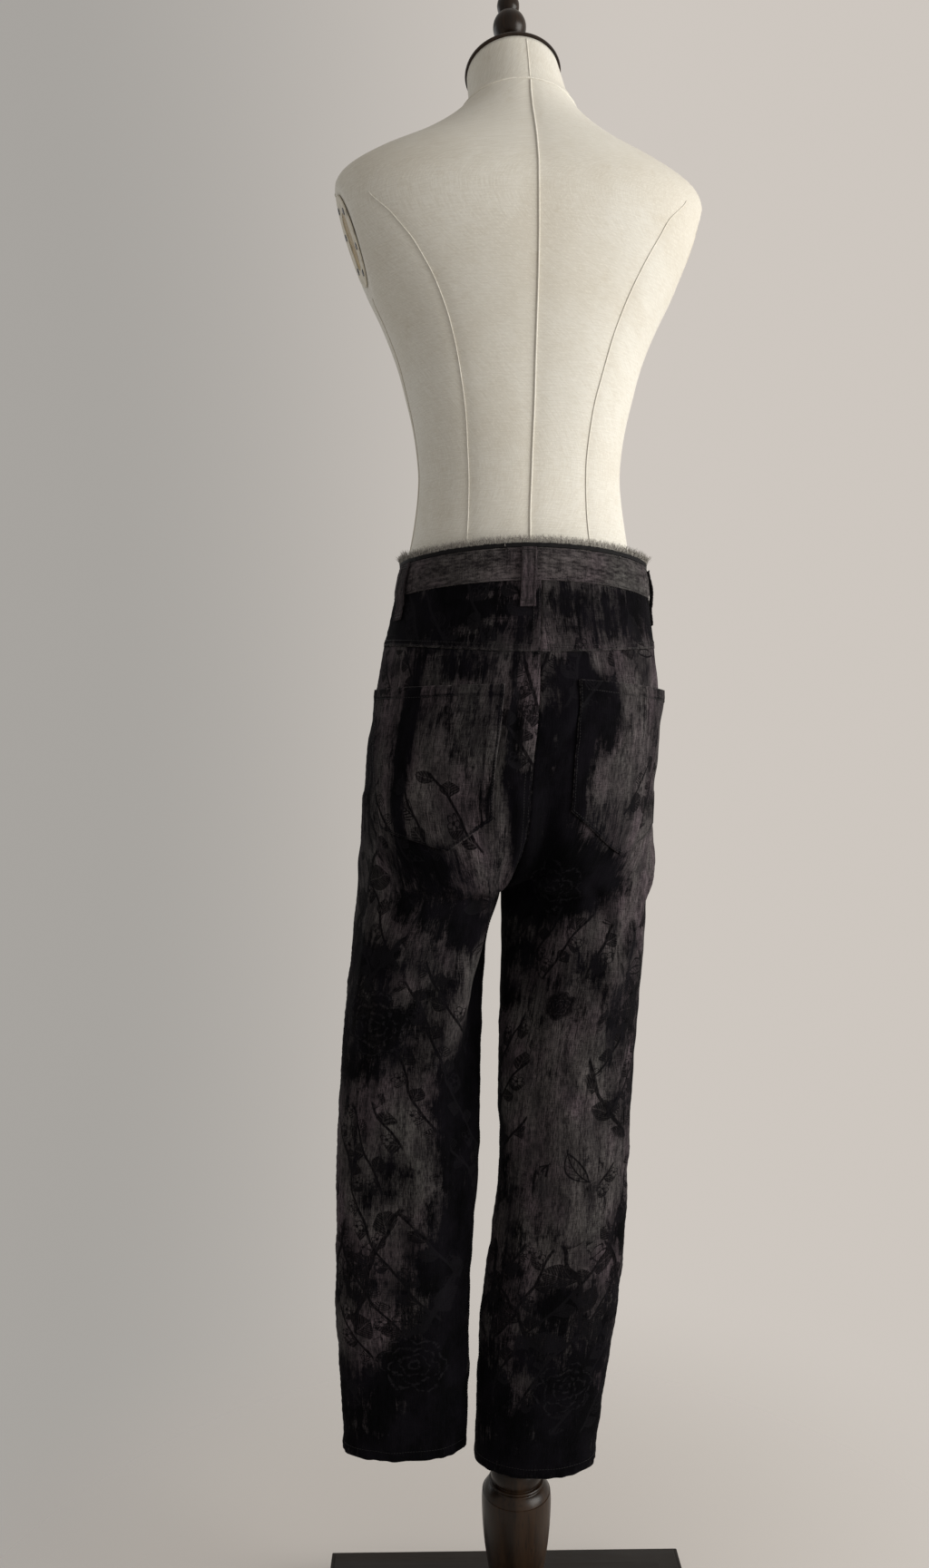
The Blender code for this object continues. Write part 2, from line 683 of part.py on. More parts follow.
def button():
    """A flat metal button on the waistband's lapped end."""
    level = (BAND_TOP + BAND_BOTTOM) / 2
    lift = (BAND_CLOTH - CLOTH) + lap_lift(BUTTON_PLACE, BAND_CLOTH) + SEAM_GAP
    seat, normal = waist_point(BUTTON_PLACE, level, lift)
    profile = (
        (BUTTON_FOOT_RADIUS, 0.0),
        (BUTTON_RADIUS, BUTTON_EDGE_LOW),
        (BUTTON_RADIUS, BUTTON_EDGE_HIGH),
        (BUTTON_TOP_RADIUS, BUTTON_THICK),
    )
    place = Matrix.Translation(seat) @ normal.to_track_quat("Z", "Y").to_matrix().to_4x4()
    return lathe("button", profile, SMALL_LATHE_SIDES, "button_metal", place)


def neck_frame(share):
    """Place and radius of a ring of the neck, which leans forward more towards its top."""
    middle = NECK_FOOT.lerp(NECK_HEAD, share)
    radius = NECK_FOOT_RADIUS + (NECK_HEAD_RADIUS - NECK_FOOT_RADIUS) * share
    return Matrix.Translation(middle) @ Matrix.Rotation(-NECK_TILT * share, 4, "X"), radius


def form_turn():
    return Matrix.Rotation(math.radians(FORM_TURN), 4, "Z")


def superellipse(half_width, back, front, squareness, angle):
    power = 2 / squareness
    x = math.copysign(abs(math.cos(angle)) ** power, math.cos(angle)) * half_width
    depth = front if math.sin(angle) > 0 else back
    y = math.copysign(abs(math.sin(angle)) ** power, math.sin(angle)) * depth
    return x, y


def arm_flat_frame(side):
    """The flat where an arm would fit: its Z points out of the form and its Y runs up."""
    out = Matrix.Rotation(side * (math.pi / 2 + ARM_FLAT_LEAN), 4, "Y")
    upright = Matrix.Rotation(side * -math.pi / 2, 4, "Z")
    return form_turn() @ Matrix.Translation((side * ARM_FLAT_X, 0.0, ARM_FLAT_Z)) @ out @ upright


def torso():
    """The padded form from its flat bottom to its leaning neck, cut flat where arms would fit."""
    mesh = bmesh.new()
    angles = [2 * math.pi * k / FORM_SIDES for k in range(FORM_SIDES)]
    rings = []
    for height, *outline in FORM:
        ring = [superellipse(*outline, angle) for angle in angles]
        rings.append([mesh.verts.new(form_turn() @ Vector((x, y, height))) for x, y in ring])
    for k in range(1, NECK_RINGS + 1):
        frame, radius = neck_frame(k / NECK_RINGS)
        ring = [frame @ Vector((radius * math.cos(a), radius * math.sin(a), 0.0)) for a in angles]
        rings.append([mesh.verts.new(form_turn() @ point) for point in ring])
    close_rings(mesh, rings)
    form = add_object("torso", mesh, "canvas")
    for side, hand in ((LEFT, "left"), (RIGHT, "right")):
        cutter = flat_cutter(f"arm_cutter_{hand}", side)
        cut = form.modifiers.new(f"arm_flat_{hand}", "BOOLEAN")
        cut.operation = "DIFFERENCE"
        cut.solver = "EXACT"
        cut.object = cutter


def flat_cutter(name, side):
    mesh = bmesh.new()
    bmesh.ops.create_cube(mesh, size=CUTTER_SIDE)
    outside = arm_flat_frame(side) @ Matrix.Translation((0.0, 0.0, CUTTER_SIDE / 2))
    cutter = add_object(name, mesh, "canvas", outside)
    cutter.hide_render = True
    cutter.display_type = "WIRE"
    return cutter


def outline_plate(name, outline, low, high, finish, place, hole=None):
    """A flat plate of the given outline, with an optional hole of as many points."""
    mesh = bmesh.new()
    loops = [[mesh.verts.new((x, y, z)) for x, y in outline] for z in (low, high)]
    if hole is None:
        close_rings(mesh, loops)
    else:
        walls = [[mesh.verts.new((x, y, z)) for x, y in hole] for z in (high, low)]
        rings = loops + walls
        for first, second in zip(rings, rings[1:] + rings[:1]):
            for k in range(len(first)):
                n = (k + 1) % len(first)
                mesh.faces.new((first[k], first[n], second[n], second[k]))
    return add_object(name, mesh, finish, place)


def slot_outline(half_height, half_width):
    """A long hole with round ends, with as many points as the plate's edge."""
    points = []
    for k in range(PLATE_SIDES):
        angle = 2 * math.pi * k / PLATE_SIDES
        straight = math.copysign(half_height - half_width, math.sin(angle)) if k % (PLATE_SIDES // 2) else 0.0
        points.append((half_width * math.cos(angle), straight + half_width * math.sin(angle)))
    return points


def arm_plate(side, hand):
    angles = [2 * math.pi * k / PLATE_SIDES for k in range(PLATE_SIDES)]
    edge = [(PLATE_HALF_WIDTH * math.cos(a), PLATE_HALF_HEIGHT * math.sin(a)) for a in angles]
    place = arm_flat_frame(side)
    slot = slot_outline(SLOT_HALF_HEIGHT, SLOT_HALF_WIDTH)
    outline_plate(f"arm_plate_{hand}", edge, SEAM_GAP, PLATE_THICK, "plate_cloth", place, hole=slot)
    inlay = slot_outline(SLOT_HALF_HEIGHT - SEAM_GAP, SLOT_HALF_WIDTH - SEAM_GAP)
    outline_plate(f"arm_inlay_{hand}", inlay, SEAM_GAP, INLAY_THICK, "slot_wood", place)


def neck_and_finial():
    frame, _ = neck_frame(1.0)
    place = form_turn() @ frame
    lathe("neck_cap", CAP_PROFILE, COLUMN_SIDES, "dark_wood", place)
    angles = spaced(BALL_LOW_ANGLE, BALL_HIGH_ANGLE, BALL_RINGS)
    ball = tuple((BALL_RADIUS * math.cos(a), BALL_HEIGHT + BALL_RADIUS * math.sin(a)) for a in angles)
    lathe("finial", FINIAL_FOOT + ball + FINIAL_HEAD, SMALL_LATHE_SIDES, "dark_wood", place)


def square_slab(name, rows, finish):
    """A slab from (half side, height) pairs, from the bottom up."""
    mesh = bmesh.new()
    corners = ((-1, -1), (1, -1), (1, 1), (-1, 1))
    rings = [[mesh.verts.new((half * x, half * y, z)) for x, y in corners] for half, z in rows]
    close_rings(mesh, rings)
    return add_object(name, mesh, finish)


def stand():
    half = BASE_SIDE / 2
    square_slab("base_slab", (
        (half, 0.0), (half, BASE_EDGE_TOP), (half - BASE_STEP, BASE_EDGE_TOP), (half - BASE_STEP, BASE_TOP),
    ), "base_wood")
    half = PANEL_SIDE / 2
    square_slab("base_panel", (
        (half, BASE_TOP + SEAM_GAP), (half, PANEL_TOP - PANEL_CHAMFER / 2), (half - PANEL_CHAMFER, PANEL_TOP),
    ), "base_wood")
    lathe("column", COLUMN_PROFILE, COLUMN_SIDES, "dark_wood")
    pole = ((POLE_RADIUS, COLUMN_PROFILE[-1][1] + SEAM_GAP), (POLE_RADIUS, FORM[0][0] - SEAM_GAP))
    lathe("pole", pole, SMALL_LATHE_SIDES, "dark_wood")


def trousers():
    grids = {(side, face): leg_grid(side, face) for side in (LEFT, RIGHT) for face in (BACK, FRONT)}
    for side, hand in ((LEFT, "left"), (RIGHT, "right")):
        cloth_wall(f"back_leg_{hand}", drawn_in(grids[side, BACK], bottom=False), CLOTH, "denim")
        cloth_wall(f"front_leg_{hand}", drawn_in(grids[side, FRONT], bottom=False), CLOTH, "denim")
        cloth_wall(f"yoke_{hand}", drawn_in(yoke_grid(side)), CLOTH, "denim")
        back_pocket(f"back_pocket_{hand}", side, grids)
    fly(grids)
    waist_strip("waistband", BAND_BOTTOM, BAND_TOP, BAND_CLOTH, "band_denim")
    waist_strip("top_tape", BAND_TOP, TAPE_TOP, TAPE_CLOTH, "tape")
    waist_strip("top_fringe", TAPE_TOP, FRINGE_TOP, FRINGE_CLOTH, "fringe")
    for name, place in LOOPS:
        belt_loop(name, place)
    button()


def main():
    clear_scene()
    stand()
    torso()
    neck_and_finial()
    arm_plate(LEFT, "left")
    arm_plate(RIGHT, "right")
    trousers()


main()
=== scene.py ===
"""The looks of a pair of printed denim trousers on a cloth-covered dress form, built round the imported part.

Metres, +Z up. The garment's front faces +Y and its right side is at +X, so the camera sees its back.
"""

import math
from functools import partialmethod

import bmesh
import bpy
import numpy as np
from mathutils import Matrix, Vector


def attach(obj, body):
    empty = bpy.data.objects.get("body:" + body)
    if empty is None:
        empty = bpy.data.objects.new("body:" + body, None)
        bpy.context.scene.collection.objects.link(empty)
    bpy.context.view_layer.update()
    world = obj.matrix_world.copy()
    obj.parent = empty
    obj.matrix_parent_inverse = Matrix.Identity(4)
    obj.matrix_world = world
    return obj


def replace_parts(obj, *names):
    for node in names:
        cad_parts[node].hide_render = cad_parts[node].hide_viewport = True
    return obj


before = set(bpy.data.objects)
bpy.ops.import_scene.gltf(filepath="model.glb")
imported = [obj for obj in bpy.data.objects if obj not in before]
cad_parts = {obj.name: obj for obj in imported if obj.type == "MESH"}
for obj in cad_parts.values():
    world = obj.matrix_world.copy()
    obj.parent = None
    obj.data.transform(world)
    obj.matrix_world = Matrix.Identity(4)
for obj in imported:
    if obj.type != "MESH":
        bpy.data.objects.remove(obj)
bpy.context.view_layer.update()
chance = np.random.default_rng(7)

LEFT, RIGHT = -1, 1
BACK, FRONT = -1, 1
PANELS = ((LEFT, BACK), (LEFT, FRONT), (RIGHT, BACK), (RIGHT, FRONT))
HANDS = {LEFT: "left", RIGHT: "right"}
FACES = {BACK: "back", FRONT: "front"}

CLOTH = 0.0015
BAND_CLOTH = 0.0022
TAPE_CLOTH = 0.0018
LOOP_CLOTH = 0.0014
LAID_GAP = 0.0003
HALF_GAP = 0.00002

TAPE_TOP = 1.4342
BAND_TOP = 1.4288
BAND_BOTTOM = 1.3940
YOKE_AT_BACK = 1.3190
YOKE_AT_SIDE = 1.3290
SEAT_LINE = 1.1650
CROTCH_HEIGHT = 1.0550
HEM = {LEFT: 0.3790, RIGHT: 0.3640}
WAIST_DIP_AT_SIDE = 0.0110
WAIST_DIP_AT_FRONT = 0.0200
CROTCH_X = -0.0205
CROTCH_Y = 0.0040
CROTCH_SPLIT = 0.0012
QUARTER_ARC = 0.5523
HALF_ARC = 4 / 3

SEAT = (
    # height, middle x, half width, back, front, turn in degrees
    (1.165, -0.0105, 0.168, 0.117, 0.106, 8.0), (1.2, -0.008, 0.168, 0.1195, 0.108, 7.8),
    (1.24, -0.0035, 0.1668, 0.1205, 0.1095, 7.6), (1.28, -0.0005, 0.163, 0.119, 0.109, 7.4),
    (1.322, 0.001, 0.157, 0.115, 0.107, 7.2), (1.363, 0.003, 0.1498, 0.11, 0.1045, 7.0),
    (1.404, 0.005, 0.1428, 0.1055, 0.1015, 6.8), (1.445, 0.0058, 0.1405, 0.103, 0.0995, 6.6),
)

LEGS = (
    # height, left out, left in, left back, left front, right in, right out, right back, right front
    (0.35, -0.205, -0.064, 0.032, 0.032, -0.048, 0.093, 0.043, 0.042),
    (0.372, -0.206, -0.0625, 0.032, 0.032, -0.049, 0.0955, 0.043, 0.042),
    (0.462, -0.21, -0.058, 0.034, 0.034, -0.047, 0.1073, 0.041, 0.04),
    (0.551, -0.2155, -0.0569, 0.037, 0.037, -0.0429, 0.1207, 0.04, 0.04),
    (0.639, -0.2145, -0.0526, 0.04, 0.04, -0.0311, 0.1287, 0.042, 0.042),
    (0.727, -0.2142, -0.0462, 0.046, 0.045, -0.0215, 0.1322, 0.047, 0.046),
    (0.814, -0.2094, -0.0452, 0.054, 0.052, -0.0225, 0.1357, 0.055, 0.053),
    (0.901, -0.2024, -0.0432, 0.068, 0.064, -0.0208, 0.1414, 0.069, 0.066),
    (0.986, -0.1924, -0.0385, 0.084, 0.078, -0.0182, 0.147, 0.085, 0.079),
    (1.029, -0.1879, -0.0295, 0.091, 0.083, -0.0188, 0.1487, 0.091, 0.083),
    (1.055, -0.1855, -0.0217, 0.095, 0.085, -0.0193, 0.1505, 0.095, 0.085),
    (1.165, -0.178, -0.0217, 0.098, 0.086, -0.0193, 0.1565, 0.098, 0.086),
)

# The largest folds, as the part has them: a place is how far across a panel from the side seam, and its height
FOLDS = {
    # for each leg and face, rows of across from, height from, across to, height to, half width across, depth
    (RIGHT, BACK): (
        (0.86, 1.28, 0.94, 1.21, 0.06, 0.003), (0.9, 1.13, 0.78, 1.02, 0.08, -0.018),
        (0.78, 1.02, 0.8, 0.88, 0.1, -0.011), (0.2, 1.09, 0.36, 1.03, 0.09, 0.005),
        (0.36, 1.03, 0.46, 0.9, 0.09, 0.006), (0.55, 0.86, 0.5, 0.6, 0.1, 0.004),
    ),
    (LEFT, BACK): (
        (0.82, 1.03, 0.62, 0.86, 0.08, 0.008), (0.62, 0.86, 0.67, 0.43, 0.09, 0.005),
        (0.93, 0.99, 0.82, 0.8, 0.1, -0.011), (0.3, 1.04, 0.26, 0.85, 0.1, 0.004),
    ),
    (LEFT, FRONT): (
        (0.8, 1.11, 0.6, 0.98, 0.1, 0.003), (0.55, 0.88, 0.5, 0.62, 0.1, 0.005),
    ),
    (RIGHT, FRONT): (
        (0.8, 1.11, 0.55, 0.97, 0.1, 0.003), (0.5, 0.88, 0.52, 0.62, 0.1, 0.005),
    ),
}
FOLD_ENDS = 0.4

# The smaller creases: ridges and troughs listed one by one, in metres
CREASES = {
    # for each leg and face, rows of across from, height from, across to, height to, bend, half width, depth, lean
    (LEFT, BACK): (
        (0.905, 1.3, 0.885, 1.215, 0.002, 0.0055, 0.0034, 0.2),
        (0.958, 1.298, 0.95, 1.205, 0.001, 0.004, 0.0018, 0.0),
        (0.87, 1.285, 0.862, 1.19, 0.0, 0.0045, -0.0022, 0.0),
        (0.932, 1.29, 0.925, 1.205, 0.0, 0.004, -0.002, 0.0),
        (0.885, 1.215, 0.85, 1.13, -0.004, 0.009, 0.003, 0.3), (0.93, 1.19, 0.9, 1.08, 0.003, 0.008, 0.005, -0.3),
        (0.78, 1.125, 0.64, 1.04, 0.004, 0.01, 0.0022, 0.2), (0.76, 1.06, 0.56, 1.01, 0.003, 0.008, -0.0018, 0.0),
        (0.88, 1.085, 0.72, 0.985, 0.002, 0.0075, 0.0034, 0.3), (0.7, 0.96, 0.54, 0.85, -0.004, 0.012, 0.004, 0.3),
        (0.56, 0.94, 0.43, 0.82, 0.005, 0.011, -0.0024, 0.0), (0.34, 1.12, 0.3, 0.98, 0.004, 0.008, -0.002, 0.0),
        (0.18, 1.09, 0.16, 0.9, -0.003, 0.007, 0.0022, 0.0), (0.1, 0.93, 0.42, 0.905, 0.004, 0.009, 0.0016, 0.2),
        (0.08, 0.842, 0.38, 0.868, -0.004, 0.008, -0.0018, 0.0), (0.3, 0.8, 0.28, 0.6, 0.006, 0.012, 0.0022, 0.0),
        (0.52, 0.76, 0.55, 0.52, -0.006, 0.013, 0.003, -0.2), (0.78, 0.76, 0.76, 0.56, 0.004, 0.01, -0.0026, 0.0),
        (0.16, 0.61, 0.46, 0.57, 0.005, 0.011, 0.0016, 0.2), (0.62, 0.5, 0.86, 0.46, 0.005, 0.01, 0.0018, 0.0),
        (0.42, 0.45, 0.44, 0.385, 0.0, 0.012, 0.0026, 0.0),
    ),
    (RIGHT, BACK): (
        (0.88, 1.245, 0.7, 1.29, 0.003, 0.008, 0.0026, 0.3), (0.94, 1.2, 0.78, 1.275, -0.002, 0.006, -0.0026, 0.0),
        (0.93, 1.17, 0.8, 1.08, 0.004, 0.01, -0.007, 0.0), (0.7, 1.12, 0.56, 1.04, 0.004, 0.01, 0.0026, 0.2),
        (0.6, 1.09, 0.44, 1.02, 0.003, 0.008, -0.0024, 0.0), (0.14, 1.12, 0.22, 1.06, 0.004, 0.0075, 0.0046, 0.3),
        (0.22, 1.06, 0.38, 0.96, -0.004, 0.0085, 0.0052, 0.3), (0.1, 1.05, 0.24, 0.97, 0.003, 0.008, -0.0034, 0.0),
        (0.38, 0.96, 0.47, 0.86, 0.003, 0.01, 0.0038, 0.2), (0.54, 1.0, 0.64, 0.88, -0.004, 0.011, 0.0026, 0.0),
        (0.3, 0.9, 0.36, 0.78, 0.004, 0.009, -0.0024, 0.0), (0.72, 0.92, 0.66, 0.76, 0.005, 0.01, -0.002, 0.0),
        (0.13, 0.86, 0.33, 0.838, 0.003, 0.008, 0.0016, 0.2), (0.44, 0.78, 0.38, 0.56, 0.006, 0.012, 0.0028, 0.2),
        (0.64, 0.74, 0.7, 0.54, -0.005, 0.012, 0.0024, 0.0), (0.2, 0.7, 0.26, 0.5, 0.004, 0.011, -0.002, 0.0),
        (0.52, 0.56, 0.86, 0.52, 0.006, 0.011, 0.0018, 0.0), (0.56, 0.46, 0.58, 0.372, 0.0, 0.012, 0.0026, 0.0),
        (0.86, 0.62, 0.84, 0.44, 0.004, 0.009, -0.0026, 0.0),
    ),
    (LEFT, FRONT): (
        (0.9, 1.18, 0.7, 1.12, 0.004, 0.007, 0.0026, 0.2), (0.92, 1.14, 0.6, 1.06, 0.005, 0.008, 0.0034, 0.3),
        (0.86, 1.11, 0.5, 1.0, -0.004, 0.007, -0.0022, 0.0), (0.34, 1.18, 0.3, 0.98, 0.006, 0.011, 0.0026, 0.0),
        (0.14, 0.88, 0.52, 0.845, 0.004, 0.009, 0.0022, 0.2), (0.22, 0.8, 0.6, 0.82, -0.004, 0.009, -0.0022, 0.0),
        (0.45, 0.7, 0.48, 0.5, 0.006, 0.012, 0.003, 0.0), (0.5, 0.45, 0.54, 0.39, 0.0, 0.012, 0.0024, 0.0),
    ),
    (RIGHT, FRONT): (
        (0.9, 1.19, 0.72, 1.14, 0.003, 0.007, 0.0024, 0.2), (0.91, 1.15, 0.62, 1.04, 0.005, 0.009, 0.0036, 0.3),
        (0.84, 1.12, 0.52, 1.01, -0.004, 0.007, -0.0022, 0.0), (0.3, 1.16, 0.34, 0.94, 0.006, 0.011, 0.0028, 0.0),
        (0.16, 0.87, 0.56, 0.83, 0.004, 0.01, 0.0022, 0.2), (0.6, 0.76, 0.56, 0.56, 0.006, 0.012, 0.003, 0.0),
        (0.46, 0.44, 0.44, 0.375, 0.0, 0.012, 0.0024, 0.0),
    ),
}

# Where the denim is dyed black (positive) or left paler (negative). The rows at the crotch, in the seat's deep fold
# and along the inner legs are also painted shade: the black there stands for shade as well as dyeing.
DYE_AND_SHADE_WASHES = {
    # for each leg and face, rows of across, height, half across, half height, strength
    (LEFT, BACK): (
        (0.45, 1.362, 0.62, 0.043, 0.86), (0.62, 1.343, 0.1, 0.008, -0.45), (0.78, 1.352, 0.09, 0.007, -0.4),
        (0.7, 1.378, 0.1, 0.006, -0.35), (0.3, 1.322, 0.3, 0.01, -0.3), (0.7, 1.3, 0.12, 0.014, 0.45),
        (0.22, 1.3, 0.1, 0.012, 0.4), (0.43, 1.24, 0.05, 0.066, 0.95), (0.4, 1.155, 0.045, 0.046, 0.8),
        (0.4, 1.235, 0.03, 0.03, 0.45), (0.9, 1.24, 0.022, 0.075, 0.75), (0.93, 1.21, 0.02, 0.06, 0.6),
        # painted shade: the patch at across 0.98 by the crotch
        (0.98, 1.155, 0.05, 0.045, 1.2), (0.5, 1.11, 0.17, 0.02, 0.85), (0.46, 1.062, 0.2, 0.046, 0.75),
        (0.68, 1.02, 0.16, 0.026, 0.6), (0.06, 1.12, 0.12, 0.16, 0.38), (0.2, 0.985, 0.24, 0.036, 0.5),
        # painted shade: the patches from across 0.83 to 0.95 along the inner leg
        (0.24, 0.89, 0.32, 0.052, 0.62), (0.6, 0.96, 0.12, 0.04, 0.26), (0.95, 0.93, 0.1, 0.09, 1.0),
        (0.83, 0.785, 0.21, 0.105, 1.05), (0.45, 0.725, 0.11, 0.022, 0.42), (0.88, 0.6, 0.2, 0.11, 1.0),
        (0.35, 0.7, 0.12, 0.014, 0.35), (0.68, 0.64, 0.14, 0.045, 0.55), (0.5, 0.59, 0.4, 0.04, 0.26),
        (0.62, 0.5, 0.22, 0.055, 0.7), (0.45, 0.415, 0.9, 0.085, 0.84), (0.48, 0.455, 0.05, 0.02, -0.5),
    ),
    (RIGHT, BACK): (
        (0.35, 1.362, 0.46, 0.043, 0.8), (0.9, 1.36, 0.1, 0.04, 0.25), (0.25, 1.33, 0.26, 0.01, -0.35),
        (0.86, 1.298, 0.12, 0.022, 0.55), (0.73, 1.306, 0.06, 0.012, -0.4), (0.44, 1.304, 0.1, 0.016, 0.5),
        # painted shade: the patches at across 0.83 and 0.92 here, and 0.78 in the next row, lie in the seat's deep
        # fold by the crotch
        (0.71, 1.262, 0.09, 0.044, 0.9), (0.83, 1.235, 0.07, 0.055, 0.9), (0.92, 1.165, 0.15, 0.09, 1.5),
        (0.78, 1.075, 0.3, 0.052, 1.15), (0.54, 1.075, 0.2, 0.036, 0.55), (0.92, 0.98, 0.2, 0.07, 0.45),
        (0.36, 1.15, 0.3, 0.02, 0.32), (0.06, 1.08, 0.08, 0.045, 0.9), (0.3, 1.005, 0.06, 0.022, 0.5),
        (0.16, 0.9, 0.22, 0.06, 0.32), (0.14, 0.8, 0.22, 0.04, 0.38), (0.97, 0.76, 0.07, 0.08, 0.6),
        (0.14, 0.655, 0.12, 0.034, 0.85), (0.3, 0.95, 0.3, 0.05, 0.14), (0.84, 0.64, 0.16, 0.08, 0.34),
        (0.5, 0.55, 0.9, 0.05, 0.26), (0.48, 0.572, 0.1, 0.018, 0.55), (0.45, 0.425, 0.85, 0.092, 0.86),
        (0.62, 0.47, 0.07, 0.03, -0.5),
    ),
    (LEFT, FRONT): (
        (0.5, 1.34, 0.5, 0.04, 0.6), (0.3, 1.18, 0.2, 0.06, 0.55), (0.7, 1.05, 0.24, 0.06, 0.8),
        (0.3, 0.92, 0.22, 0.05, 0.7), (0.7, 0.78, 0.2, 0.06, 0.6), (0.25, 0.62, 0.18, 0.05, 0.7),
        (0.5, 0.425, 0.8, 0.07, 0.95),
    ),
    (RIGHT, FRONT): (
        (0.5, 1.35, 0.5, 0.035, 0.6), (0.4, 1.22, 0.22, 0.05, 0.55), (0.8, 1.08, 0.26, 0.07, 0.85),
        (0.3, 0.98, 0.18, 0.05, 0.7), (0.7, 0.84, 0.2, 0.05, 0.6), (0.3, 0.68, 0.22, 0.05, 0.75),
        (0.5, 0.425, 0.85, 0.08, 0.95),
    ),
}

# Where the twigs, sprigs and single leaves are drawn
MOTIFS = {
    # for each leg and face, rows of kind, across, height, half across, half height
    (LEFT, BACK): (
        ("twigs", 0.14, 1.01, 0.26, 0.09), ("sprigs", 0.6, 0.88, 0.26, 0.1), ("sprigs", 0.2, 0.745, 0.28, 0.065),
        ("twigs", 0.42, 0.605, 0.38, 0.075), ("sprigs", 0.5, 1.15, 0.34, 0.04),
        ("sprigs", 0.6, 1.362, 0.38, 0.036), ("sprigs", 0.22, 1.298, 0.3, 0.024),
        ("sprigs", 0.94, 1.26, 0.1, 0.07), ("leaves", 0.75, 1.02, 0.16, 0.03), ("sprigs", 0.14, 0.5, 0.2, 0.06),
        ("sprigs", 0.86, 0.74, 0.14, 0.06),
    ),
    (RIGHT, BACK): (
        ("sprigs", 0.84, 1.298, 0.2, 0.034), ("leaves", 0.4, 1.345, 0.3, 0.034),
        ("sprigs", 0.36, 1.17, 0.22, 0.034), ("leaves", 0.15, 0.99, 0.2, 0.05), ("twigs", 0.16, 0.87, 0.26, 0.105),
        ("sprigs", 0.9, 0.825, 0.18, 0.095), ("leaves", 0.48, 0.742, 0.16, 0.026),
        ("sprigs", 0.14, 0.69, 0.2, 0.05), ("twigs", 0.5, 0.58, 0.62, 0.06), ("sprigs", 0.3, 0.48, 0.5, 0.06),
        ("sprigs", 0.62, 1.0, 0.24, 0.04),
    ),
    (LEFT, FRONT): (
        ("twigs", 0.4, 1.13, 0.34, 0.09), ("sprigs", 0.25, 0.9, 0.28, 0.08), ("twigs", 0.6, 0.72, 0.34, 0.08),
        ("leaves", 0.7, 1.28, 0.24, 0.05), ("sprigs", 0.4, 0.47, 0.5, 0.05),
    ),
    (RIGHT, FRONT): (
        ("sprigs", 0.5, 1.3, 0.36, 0.05), ("twigs", 0.3, 1.1, 0.3, 0.09), ("leaves", 0.7, 0.95, 0.24, 0.06),
        ("sprigs", 0.7, 0.78, 0.26, 0.07), ("twigs", 0.35, 0.56, 0.4, 0.07),
    ),
}

# The full blown roses
ROSES = {
    # for each leg and face, rows of across, height, radius in metres, turn in radians
    (LEFT, BACK): (
        (0.3, 0.908, 0.043, 0.4), (0.56, 0.498, 0.037, 1.9), (0.1, 1.205, 0.02, 2.6),
    ),
    (RIGHT, BACK): (
        (0.72, 1.075, 0.045, 2.4), (0.4, 0.47, 0.034, 0.9), (0.6, 0.93, 0.018, 1.2),
    ),
    (LEFT, FRONT): (
        (0.58, 1.0, 0.043, 1.1), (0.35, 0.585, 0.038, 2.9),
    ),
    (RIGHT, FRONT): (
        (0.45, 0.905, 0.042, 0.2), (0.66, 0.655, 0.034, 2.0), (0.62, 1.195, 0.03, 1.5),
    ),
}
ROSE_REACH = 1.25  # a rose's own coordinates are kept this far out, in radii

# Corners of the back pockets: how far across the panel, and height
POCKETS = {
    LEFT: {
        "top side": (0.06, 1.2800), "top middle": (0.86, 1.2850), "low middle": (0.85, 1.1500),
        "tip": (0.62, 1.1220), "low side": (0.27, 1.1310),
    },
    RIGHT: {
        "top side": (0.14, 1.2800), "top middle": (0.84, 1.2900), "low middle": (0.83, 1.1550),
        "tip": (0.47, 1.1100), "low side": (0.17, 1.1300),
    },
}

# Rows of stitches and the folds beside them: their distances from an edge or a seam, in metres
EDGE_ROW = 0.0022
FELLED_ROWS = (0.0020, 0.0065)
FELLED_LIFT = 0.0006
SEAM_BAND = 0.0085
YOKE_BAND = 0.0080
HEM_ROW = 0.0115
POCKET_TOP_ROW = 0.0110
POCKET_HEM = 0.0125
POCKET_FOLD = 0.0140
POCKET_SIZE = 0.150
GROOVE = 0.0009

LOOP_HALF_WIDTH = 0.0080
LOOP_TOP = 1.4290
LOOP_BOTTOM = 1.3660
LOOP_BULGE = 0.0026
HALF_WAIST = 0.382
LOOPS = {
    # place round the waist: 0 centre back, 0.5 left side, 1 centre front, negative on the right
    "loop_back": 0.030,
    "loop_left": 0.405,
    "loop_right": -0.475,
    "loop_front_left": 0.800,
    "loop_front_right": -0.800,
}
LAP_END = 1.100
LAP_START = 0.965
FLY_LENGTH = 0.165
FLY_SIDE = 0.74
FLY_LAP = 0.97

